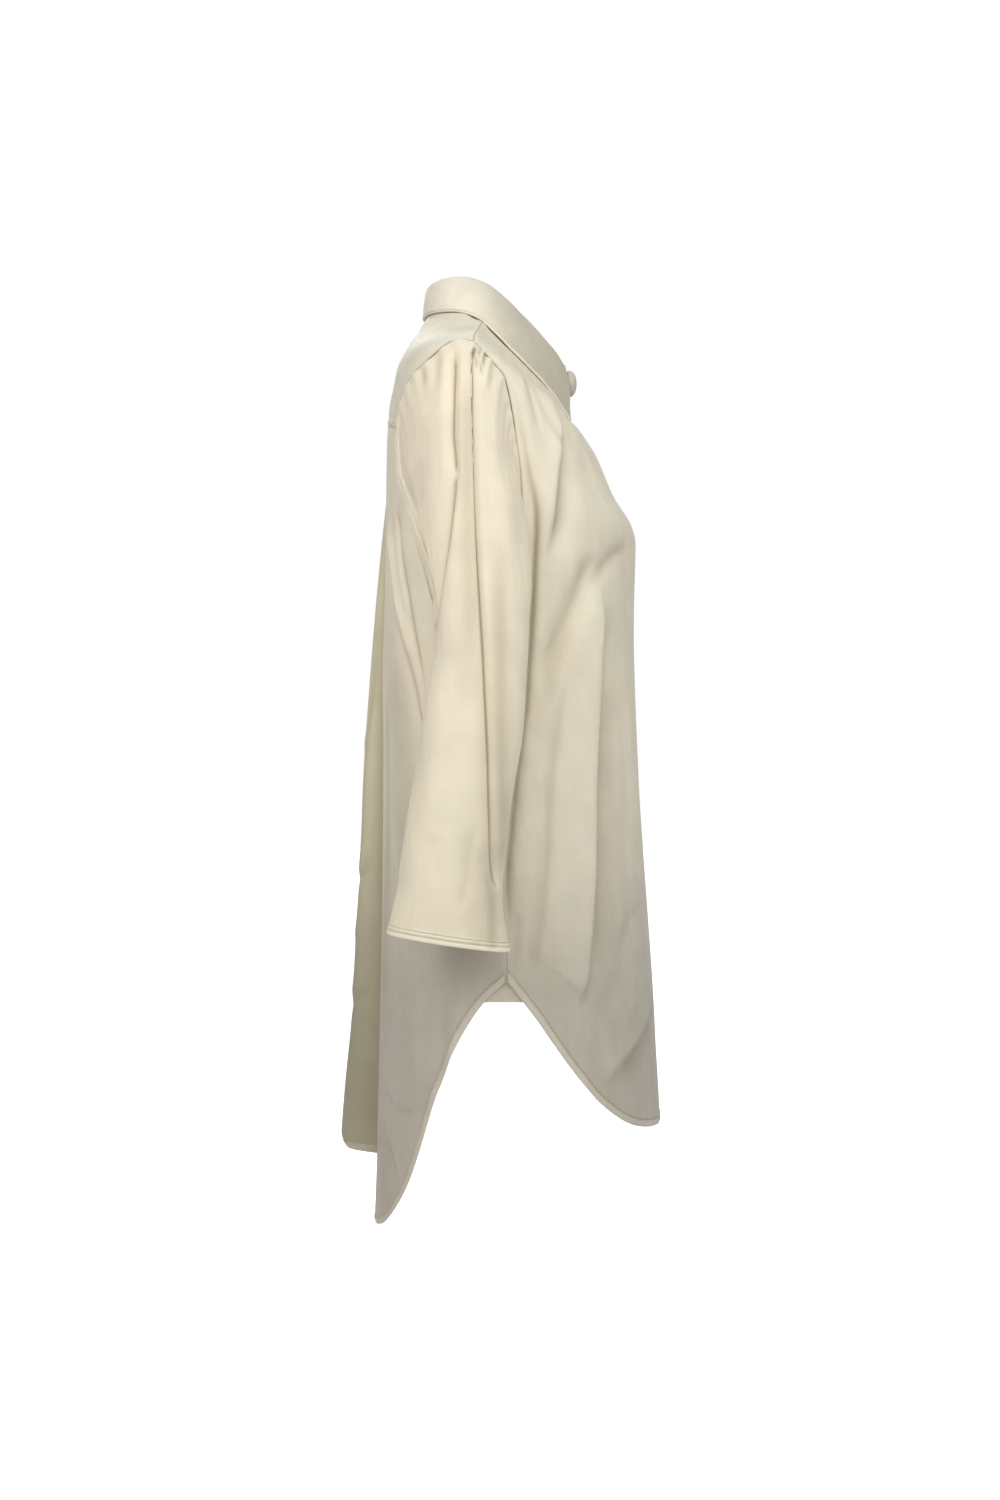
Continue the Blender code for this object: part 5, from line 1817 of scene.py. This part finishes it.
    gather_settle: float = 0.004
    gathered: Pair = (0.1, 0.75)
    felled_turns: tuple[float, ...] = (45.0, 75.0, 165.0, 180.0)
    sewn_turns: Pair = (60.0, 172.0)

    @staticmethod
    def between(turns: Sequence[float], turn: Array) -> Array:
        """1 in the middle of four turns round the arm, fading to 0 at the outer two."""
        return smoothstep(turns[0], turns[1], turn) * (1 - smoothstep(turns[2], turns[3], turn))

    def tube(self, angle: Array) -> Array:
        """Rings of the sleeve below the armhole."""
        table = np.array(self.sections)
        rings = []
        for height in np.linspace(table[0, 0], table[-1, 0], self.tube_rows + 1):
            section = dict(zip(self.columns, smooth(-table[:, 0], table, -height)))
            x = section["centre_x"] - section["half_x"] * np.cos(angle)
            y = section["centre_y"] + section["half_y"] * np.sin(angle)
            tilt = self.hem_tilt * smoothstep(-table[0, 0], -table[-1, 0], -height)
            rings.append(np.stack([x, y, height + tilt * (y - section["centre_y"])], 1))
        return np.array(rings)

    def into_hole(self, start: Array, normal: Array) -> Array:
        """Directions along the skin from the seam into the armhole, evened out.

        Args:
            start: points of the armhole seam.
            normal: directions out of the skin there.

        Returns:
            One direction for each point.
        """
        tangent = unit(np.roll(start, -1, 0) - np.roll(start, 1, 0))
        into = unit(np.cross(normal, tangent))
        into *= np.sign(np.sum(into * (start.mean(0) - start), axis=1))[:, None]
        for _ in range(self.fan_rounds):
            into = unit(np.roll(into, 1, 0) + 2 * into + np.roll(into, -1, 0))
        return into

    def grid(self) -> tuple[Array, Array]:
        """Outer points of the right sleeve from the armhole to the hem, and their turns.

        Returns:
            The points by row and column, and the turn of each column in degrees.
        """
        p = PATTERN
        upper, lower = armhole_back()
        front = FORM.along(p.armhole_front, p.armhole_front_steps)
        loop = np.concatenate([upper, lower[1:], front[-2:0:-1]])
        turn = np.concatenate([
            np.linspace(0, 180, p.armhole_yoke_steps + p.armhole_back_steps + 1),
            np.linspace(180, 360, p.armhole_front_steps + 1)[1:-1],
        ])
        angle = np.radians(turn)
        start, tube = FORM.bare(*loop.T), self.tube(angle)
        into = self.into_hole(start, FORM.normal(*loop.T))
        topness = 0.5 + 0.5 * np.cos(angle)[:, None]
        flat = self.between(self.flat_turns, turn)[:, None] * self.flat_back
        direction = unit(OUT_RIGHT + into * (self.cap_lift + (1 - self.cap_lift) * topness + flat))
        pull = self.pull_underarm + (self.pull_top - self.pull_underarm) * topness ** self.pull_power
        pull = direction * pull * (1 + self.flat_reach * flat)
        drop = -UP * (self.fall_underarm + (self.fall_top - self.fall_underarm) * topness)
        first = start + into * SEAM_TRIM
        cap = []
        for t in np.linspace(0, 1, self.cap_rows + 1)[:-1]:
            h00, h10 = 2 * t ** 3 - 3 * t ** 2 + 1, t ** 3 - 2 * t ** 2 + t
            h01, h11 = -2 * t ** 3 + 3 * t ** 2, t ** 3 - t ** 2
            cap.append(first * h00 + pull * h10 + tube[0] * h01 + drop * h11)
        grid = np.concatenate([np.array(cap), tube])
        ahead = np.maximum(0.0, -np.sin(angle)) ** self.swell_power
        clear = smoothstep(*self.swell_clear, run_length(grid, 0))
        grid[..., 1] -= read(self.front_swell, grid[..., 2]) * ahead * clear
        behind = self.between(self.tuck_turns, turn)
        clear = smoothstep(*self.band_clear, run_length(grid, 0))
        grid[..., 1] -= read(self.back_tuck, grid[..., 2]) * behind * clear
        return grid, turn

    def guided(self) -> Array:
        """Grid with mesh lines that run along the long creases, more of them close by.

        Returns:
            Rows of points, each with the turn round the arm as its fourth value: from the
            underarm (-180) over the front, the outside (0) and the back to 180.
        """
        grid, turn = self.grid()
        under = len(turn) - int(np.argmin(np.abs(turn - 180.0)))
        turns = np.where(turn >= 180.0, turn - 360.0, turn)[None, :, None]
        turns = np.broadcast_to(turns, (*grid.shape[:2], 1))
        wide = np.roll(np.concatenate([grid, turns], -1), under, axis=1)
        length = run_length(wide[..., :3], 1)
        outside = np.flatnonzero(np.abs(wide[0, :, 3]) < 90)
        crossings = []
        for guide in self.guides:
            off = wide[..., 1] - read([(z * MM, y * MM) for y, z in guide], wide[..., 2])
            crossings.append([
                [np.interp(0, gap[outside], found) for found in (run[outside], outside)]
                for gap, run in zip(off, length)
            ])
        crossings = np.array(crossings)
        middles = np.rint(np.median(crossings[..., 1], axis=1)).astype(int)
        made = []
        for row, run, crossed in zip(wide, length, crossings[..., 0].T):
            numbers, places = [0], [0.0]
            for middle, cross in zip(middles, crossed):
                numbers += [middle - 2, middle + 2]
                places += [cross - self.guide_reach, cross + self.guide_reach]
            moved = np.interp(run, run[[*numbers, len(run) - 1]], [*places, run[-1]])
            pieces, first = [], 0
            for middle, cross in zip(middles, crossed):
                pieces += [moved[first:middle - 1], cross + np.array(self.guide_lines)]
                first = middle + 2
            made.append(smooth(run, row, np.concatenate([*pieces, moved[first:]])))
        return np.array(made)

    def gather(self, side: Side, turns: Array, top: Array) -> Array:
        """Lift of the gathers at the head, unevenly spaced and fading down the sleeve.

        Args:
            side: the wearer's side.
            turns: turn of each column in degrees.
            top: distance below the seam.

        Returns:
            The lift in metres.
        """
        draw = np.random.default_rng(side.value)
        phase = np.cumsum(draw.uniform(0.5, 1.5, self.gathers * 4 + 1))
        around = np.linspace(-180, 180, len(phase))
        phase = np.interp(turns, around, phase / phase[-1] * self.gathers * 2 * math.pi)
        crown = smoothstep(*self.gathered, np.cos(np.radians(turns)))
        settle = smoothstep(0.0, self.gather_settle, top) * np.exp(-top / self.gather_reach)
        return self.gather_height * np.sin(phase * 2) * crown * settle

    def shape(self, side: Side) -> tuple[Shell, Array]:
        """Wall of one sleeve, and the turn of each of its columns at the armhole.

        Args:
            side: the wearer's side.

        Returns:
            The wall and the turns in degrees.
        """
        wide = self.guided()
        for rim, finish in ((Rim.BOTTOM, SLEEVE_HEM), (Rim.TOP, ARMHOLE_FELL)):
            wide = respaced(wide, wide[..., :3], rim, finish.lines)
        grid, turns = wide[..., :3], wide[..., 3]
        normal = grid_normal(grid, closed=True)
        normal *= -np.sign(normal[-1, np.argmin(np.abs(turns[-1])), 0])
        y, z = grid[..., 1], grid[..., 2]
        outside = smoothstep(*self.outside_from, np.cos(np.radians(turns)))
        relief = Relief(self.outer_creases, self.outer_ripple, self.wander)
        lift, tone = relief.at(y, z, side, self.outer_salt)
        inner, _ = Relief(self.inner_creases, wander=self.wander).at(y, z, side, self.inner_salt)
        lift = lift * outside + inner * (1 - outside)
        top, bottom = edge_distance(grid, Rim.TOP), edge_distance(grid, Rim.BOTTOM)
        behind = self.between(self.felled_turns, turns)
        lift = lift + self.gather(side, turns, top) + SLEEVE_HEM.relief(bottom)
        lift = lift + PLAIN_SEAM.relief(top) * (1 - behind) + ARMHOLE_FELL.relief(top) * behind
        outer = grid + normal * lift[..., None]
        marks = np.zeros_like(outer)
        # painted shade along the creases, in the seam and in the stitched grooves
        seam = PLAIN_SEAM.dark(top) * (1 - behind) + ARMHOLE_FELL.dark(top) * behind
        marks[..., 1] = np.maximum(tone * outside, np.maximum(seam, SLEEVE_HEM.dark(bottom)))
        # lighter doubled bands; the felled band's lightness is partly painted light
        hem_tone = SLEEVE_HEM.tone * SLEEVE_HEM.band(bottom)
        marks[..., 0] = np.maximum(hem_tone, ARMHOLE_FELL.tone * behind * ARMHOLE_FELL.band(top))
        wall = wall_facing(outer, normal, closed=True)
        name = side.named("sleeve") + "_cloth"
        return Shell(name, outer, wall, closed=True, marks=marks).on(side), turns[0]

    def build(self, wardrobe: Wardrobe) -> None:
        """Make both sleeves."""
        for side in Side:
            sheet = Sheet(side.named("sleeve"), finish="sleeve_crepe")
            shell, turns = self.shape(side)
            thread = Seamstress(sheet.node + "_stitches")
            thread.sew_edges(shell, {Rim.BOTTOM: SLEEVE_HEM})
            start, end = self.sewn_turns
            felled_part = np.flatnonzero((turns > start) & (turns < end))
            for number in ARMHOLE_FELL.sewn:
                thread.sew(*(rows[felled_part] for rows in shell.line(Rim.TOP, number)))
            sheet.make(wardrobe, shell, thread)


# ==== collar and button
COLLAR_RIMS = (Rim.BOTTOM, Rim.LEFT, Rim.RIGHT)


@dataclass
class Collar:
    """Pointed collar: a stand round the neck and the fall that rolls over it."""

    cloth: float = 0.0015
    stand_gap: float = 0.0012
    stand_top_drop: float = 0.0026
    stand_in: float = 0.0008
    stand_lap: float = 0.0022
    stand_end: float = 9.0
    fold_front: float = 0.064
    fold_back: float = 0.071
    fold_half_width: float = 0.056
    fold_side: float = 0.0156
    fold_height: Table = (
        (0, -0.0345), (15, -0.0325), (30, -0.0235), (60, 0.005), (75, 0.0235),
        (90, 0.038), (110, 0.044), (135, 0.045), (180, 0.043),
    )
    fall_edge: Table = (
        (10.5, 0.034, -0.0735, -0.0915),
        (20, 0.048, -0.058, -0.0745),
        (36, 0.063, -0.038, -0.054),
        (52, 0.071, -0.02, -0.037),
        (70, 0.0755, 0, -0.017),
        (90, 0.0755, 0.019, 0),
        (110, 0.069, 0.039, 0.007),
        (135, 0.054, 0.06, 0.0105),
        (160, 0.028, 0.0745, 0.013),
        (180, 0, 0.079, 0.014),
    )
    roll: Table = ((-0.0024, -0.0006), (0.0, 0.0), (0.0026, -0.002))
    fall_bow: float = 0.0012
    rest: float = 0.0022
    rest_rounds: int = 60
    # angles from the front over which the fall's painted shade fades out, and how deep it is
    painted_dim_span: Pair = (62.0, 130.0)
    painted_dim_share: float = 0.95
    ripple: Ripple = Ripple(0.0003, 0.05, 0.03)
    seed: int = 61
    half_step: float = 0.5
    side_columns: int = 96
    lap_columns: int = 11
    stand_rows: int = 12
    roll_rows: int = 9
    fall_rows: int = 26

    def fold_point(self, angle: Array) -> Array:
        """Point of the collar's fold at an angle from the centre front."""
        turn = np.radians(angle)
        folded = np.where(np.abs(angle) > 180, 360 - np.abs(angle), np.abs(angle))
        ahead = np.cos(turn)
        run = np.where(ahead >= 0, -self.fold_front - self.fold_side, self.fold_back - self.fold_side)
        x = -self.fold_half_width * np.sin(turn)
        return np.stack([x, self.fold_side + run * np.abs(ahead), read(self.fold_height, folded)], -1)

    def ahead(self, angle: Array) -> Array:
        """Step along the fold at an angle."""
        return self.fold_point(angle + self.half_step) - self.fold_point(angle - self.half_step)

    def outward(self, angle: Array) -> Array:
        """Level outward direction on the fold."""
        return unit(np.cross(UP, self.ahead(angle) * (1.0, 1.0, 0.0)))

    def angles(self) -> Array:
        """Angles of the columns, right end to left end."""
        right = np.linspace(self.fall_edge[0][0], 180.0, self.side_columns + 1)
        return np.concatenate([right, 360.0 - right[-2::-1]])

    def stand_shell(self, name: str) -> Shell:
        """Wall of the stand."""
        ends = np.linspace(-self.stand_end, self.fall_edge[0][0], self.lap_columns + 1)[:-1]
        angle = np.concatenate([ends, self.angles(), 360.0 - ends[::-1]])
        lap = self.stand_lap * smoothstep(360.0 - 3 * self.stand_end, 360.0 - self.stand_end, angle)
        foot = FORM.bare(angle, np.zeros(angle.shape)) + UP * self.stand_gap
        outward, ahead = self.outward(angle), self.ahead(angle)
        head = self.fold_point(angle) - outward * self.stand_in
        steepness = np.linalg.norm(ahead, axis=1) / np.linalg.norm(ahead[:, :2], axis=1)
        head[:, 2] -= self.stand_top_drop * steepness
        share = np.linspace(0, 1, self.stand_rows)[:, None, None]
        outer = foot * (1 - share) + head * share - outward * lap[:, None]
        normal = np.broadcast_to(outward, outer.shape).copy()
        return Shell(name, outer, normal, thickness=self.cloth, flipped=True)

    def fall_grid(self) -> Array:
        """Points of the fall, from under the roll to the edge that rests on the body."""
        table = np.array(self.fall_edge)
        angle = self.angles()
        edge = smooth(table[:, 0], table[:, 1:], np.where(angle > 180, 360 - angle, angle))
        edge[:, 0] *= np.where(angle > 180, 1.0, -1.0)
        edge = edge + faired(FORM.laid(edge, self.rest) - edge, self.rest_rounds)
        fold, outward = self.fold_point(angle), self.outward(angle)
        rolled = smooth(range(len(self.roll)), self.roll, np.linspace(0, len(self.roll) - 1, self.roll_rows))
        rows = [fold + outward * out + UP * rise for out, rise in rolled]
        start = rows[-1]
        for share in np.linspace(0, 1, self.fall_rows + 1)[1:]:
            bow = self.fall_bow * math.sin(math.pi * share)
            rows.append(start * (1 - share) + edge * share + outward * bow)
        grid = np.array(rows)
        for rim in COLLAR_RIMS:
            grid = respaced(grid, grid, rim, COLLAR_EDGE.lines)
        return grid

    def fall_shell(self, name: str) -> Shell:
        """Wall of the fall."""
        grid = self.fall_grid()
        across, down = run_length(grid, 1), run_length(grid, 0)
        normal = grid_normal(grid)
        outward = self.outward(self.angles())
        wide = np.pad(outward, ((0, normal.shape[1] - len(outward)), (0, 0)), mode="edge")
        normal *= np.sign(np.sum(normal[self.stand_rows] * wide, axis=-1)).mean()
        marks = np.zeros_like(grid)
        end = self.fall_edge[0][0]
        turns = np.interp(across, across[len(grid) // 2], np.linspace(end, 360.0 - end, grid.shape[1]))
        # painted shade on the front of the fall, which turns from the light
        from_front = 180.0 - np.abs(180.0 - turns)
        marks[..., 2] = self.painted_dim_share * (1 - smoothstep(*self.painted_dim_span, from_front))
        lift = self.ripple.relief(across, down, self.seed)
        for rim in COLLAR_RIMS:
            lift = lift + COLLAR_EDGE.mark(marks, edge_distance(grid, rim))
        outer = grid + normal * lift[..., None]
        return Shell(name, outer, normal, thickness=self.cloth, marks=marks)

    def build(self, wardrobe: Wardrobe) -> None:
        """Make the stand and the fall."""
        stand = Sheet("collar_stand", "crepe_interfaced", "collar_crepe", Held.STRETCHED)
        stand.make(wardrobe, self.stand_shell(stand.name))
        fall = Sheet("collar_fall", "crepe_interfaced", "collar_crepe", Held.FOLDED)
        shell = self.fall_shell(fall.name)
        thread = Seamstress("collar_fall_stitches", radius=0.0002)
        thread.sew_edges(shell, dict.fromkeys(COLLAR_RIMS, COLLAR_EDGE))
        fall.make(wardrobe, shell, thread)


@dataclass
class NeckButton:
    """Domed button covered in the shirt's crepe, on a short shank."""

    centre: tuple[float, float, float] = (0.0, -0.064, -0.051)
    profile: Table = (
        (0, -0.0026), (0.0034, -0.0026), (0.0034, 0.0014), (0.006, 0.0018), (0.0106, 0.002),
        (0.0118, 0.0024), (0.0129, 0.0034), (0.0133, 0.0048), (0.0131, 0.0062), (0.0123, 0.008),
        (0.0109, 0.0096), (0.0089, 0.0109), (0.0065, 0.0118), (0.0038, 0.0124), (0, 0.0127),
    )
    sides: int = 72
    rings: int = 70
    pleats: int = 22
    pleat_height: float = 0.00022
    pleat_middle: float = 0.0026
    pleat_reach: float = 0.0012
    pleat_from: float = 0.008
    weld: float = 1e-5

    def build(self, wardrobe: Wardrobe) -> None:
        """Make the button."""
        table = np.array(self.profile)
        chord = run_length(table, 0)
        turn = np.linspace(0, 2 * math.pi, self.sides, endpoint=False)
        points = []
        for radius, height in sampled(np.linspace(0, chord[-1], self.rings), chord, table):
            tuck = self.pleat_height * math.exp(-((height - self.pleat_middle) / self.pleat_reach) ** 2)
            wavy = radius + (tuck if radius > self.pleat_from else 0.0) * np.sin(turn * self.pleats)
            level = np.full(self.sides, -height)
            points.append(np.stack([wavy * np.cos(turn), level, wavy * np.sin(turn)], 1))
        faces = grid_faces(0, self.rings, self.sides, True, False).tolist()
        cloud = np.concatenate(points) + np.array(self.centre)
        piece = add_mesh("neck_button_cloth", cloud, faces, wardrobe["button_crepe"])
        mesh = piece.data
        builder = bmesh.new()
        builder.from_mesh(mesh)
        bmesh.ops.remove_doubles(builder, verts=builder.verts[:], dist=self.weld)
        bmesh.ops.recalc_face_normals(builder, faces=builder.faces[:])
        builder.to_mesh(mesh)
        builder.free()
        mesh.shade_smooth()
        where = np.array([vertex.co[:] for vertex in mesh.vertices]) - np.array(self.centre)
        store_vectors(mesh, "grain", where[:, [0, 2, 1]])
        store_vectors(mesh, "marks", np.zeros_like(where))
        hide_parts("neck_button")
        LOG.info("%s: %d points", piece.name, len(mesh.vertices))


# ==== stage
WHITE = (1.0, 1.0, 1.0, 1.0)


@dataclass
class Studio:
    """Camera, lights and floor."""

    camera_place: tuple[float, float, float] = (-2.0, 0.0, -0.417)
    lens: float = 48.0
    sensor: float = 36.0
    floor_height: float = -1.25
    floor_size: float = 30.0
    floor_colour: tuple[float, ...] = (0.8, 0.8, 0.8, 1.0)
    floor_roughness: float = 0.9
    ambient: float = 0.42
    lamps: tuple[tuple, ...] = (
        # name, place, target, size, power, colour
        ("key", (-1.75, -0.05, 0.35), (-0.15, 0.0, -0.25), 1.5, 10.9, (1.0, 0.99, 0.97)),
        ("rear", (-1.25, 1.0, 0.45), (-0.1, 0.05, -0.15), 0.8, 7.4, (1.0, 0.98, 0.95)),
        ("front", (-1.0, -1.15, 0.7), (0.0, -0.05, -0.12), 0.8, 6.2, (0.94, 0.985, 1.0)),
        ("far", (2.2, 0.3, 1.2), (0.1, 0.0, -0.35), 1.4, 22.0, (1.0, 0.99, 0.97)),
        ("above", (-0.6, -0.35, 1.0), (-0.1, -0.05, -0.1), 0.7, 2.1, (0.94, 0.98, 1.0)),
    )

    @staticmethod
    def put(name: str, data: bpy.types.ID | None, place: Sequence[float]) -> Thing:
        """Place a camera, a lamp or a mesh in the scene.

        Args:
            name, data: name and content of the object.
            place: where it stands.
        """
        item = bpy.data.objects.new(name, data)
        bpy.context.scene.collection.objects.link(item)
        item.location = place
        return item

    def lamp(self, name: str, place: Sequence[float], target: Sequence[float], size: float, power: float,
             colour: Colour) -> None:
        """Add a square soft box.

        Args:
            name: the lamp's name.
            place: where it stands.
            target: the point that it faces.
            size: length of its side.
            power: its power in watts.
            colour: its colour.
        """
        light = bpy.data.lights.new(name, "AREA")
        light.shape, light.size, light.energy, light.color = "SQUARE", size, power, colour
        direction = Vector(target) - Vector(place)
        self.put(name, light, place).rotation_euler = direction.to_track_quat("-Z", "Y").to_euler()

    def camera(self) -> Thing:
        """Camera that looks square at the wearer's right side."""
        data = bpy.data.cameras.new("camera")
        data.lens, data.sensor_width, data.sensor_fit = self.lens, self.sensor, "AUTO"
        camera = self.put("camera", data, self.camera_place)
        camera.rotation_euler = (math.radians(90), 0.0, math.radians(-90))
        return camera

    def room(self, scene: bpy.types.Scene) -> None:
        """Surround the shirt with a white room that lights it only dimly."""
        world = bpy.data.worlds.new("pale_room")
        scene.world = world
        world.use_nodes = True
        kit = NodeKit(world.node_tree)
        seen = kit.add("ShaderNodeLightPath").outputs["Is Camera Ray"]
        strength = kit.ramp(seen, 0.0, 1.0, self.ambient, 1.0)
        kit.feed_all(world.node_tree.nodes["Background"], {"Color": WHITE, "Strength": strength})

    def floor(self) -> None:
        """Lay a plain floor that looks white to the camera."""
        mesh = bpy.data.meshes.new("floor")
        half = self.floor_size / 2
        corners = [(-half, -half, 0), (half, -half, 0), (half, half, 0), (-half, half, 0)]
        mesh.from_pydata(corners, [], [(0, 1, 2, 3)])
        material = bpy.data.materials.new("pale_floor")
        material.use_nodes = True
        kit = NodeKit(material.node_tree)
        kit.feed_all(material.node_tree.nodes["Principled BSDF"], {
            "Base Color": self.floor_colour,
            "Roughness": self.floor_roughness,
            "Emission Color": WHITE,
            "Emission Strength": kit.add("ShaderNodeLightPath").outputs["Is Camera Ray"],
        })
        mesh.materials.append(material)
        self.put("floor", mesh, (0.0, 0.0, self.floor_height))

    def build(self) -> None:
        """Set up the camera, the lights, the world and the floor."""
        scene = bpy.context.scene
        scene.camera = self.camera()
        scene.view_settings.view_transform = "Standard"
        self.room(scene)
        for lamp in self.lamps:
            self.lamp(*lamp)
        self.floor()


# ==== the whole shirt
PARTS = (Fronts(), Yoke(), Back(), VentGussets(), Sleeves(), Collar(), NeckButton())


def main() -> None:
    """Light the stage and build the shirt in the order in which it is sewn."""
    logging.basicConfig(level=logging.INFO, format="%(name)s: %(message)s")
    Studio().build()
    wardrobe = Wardrobe()
    for part in PARTS:
        part.build(wardrobe)


if __name__ == "__main__":
    main()
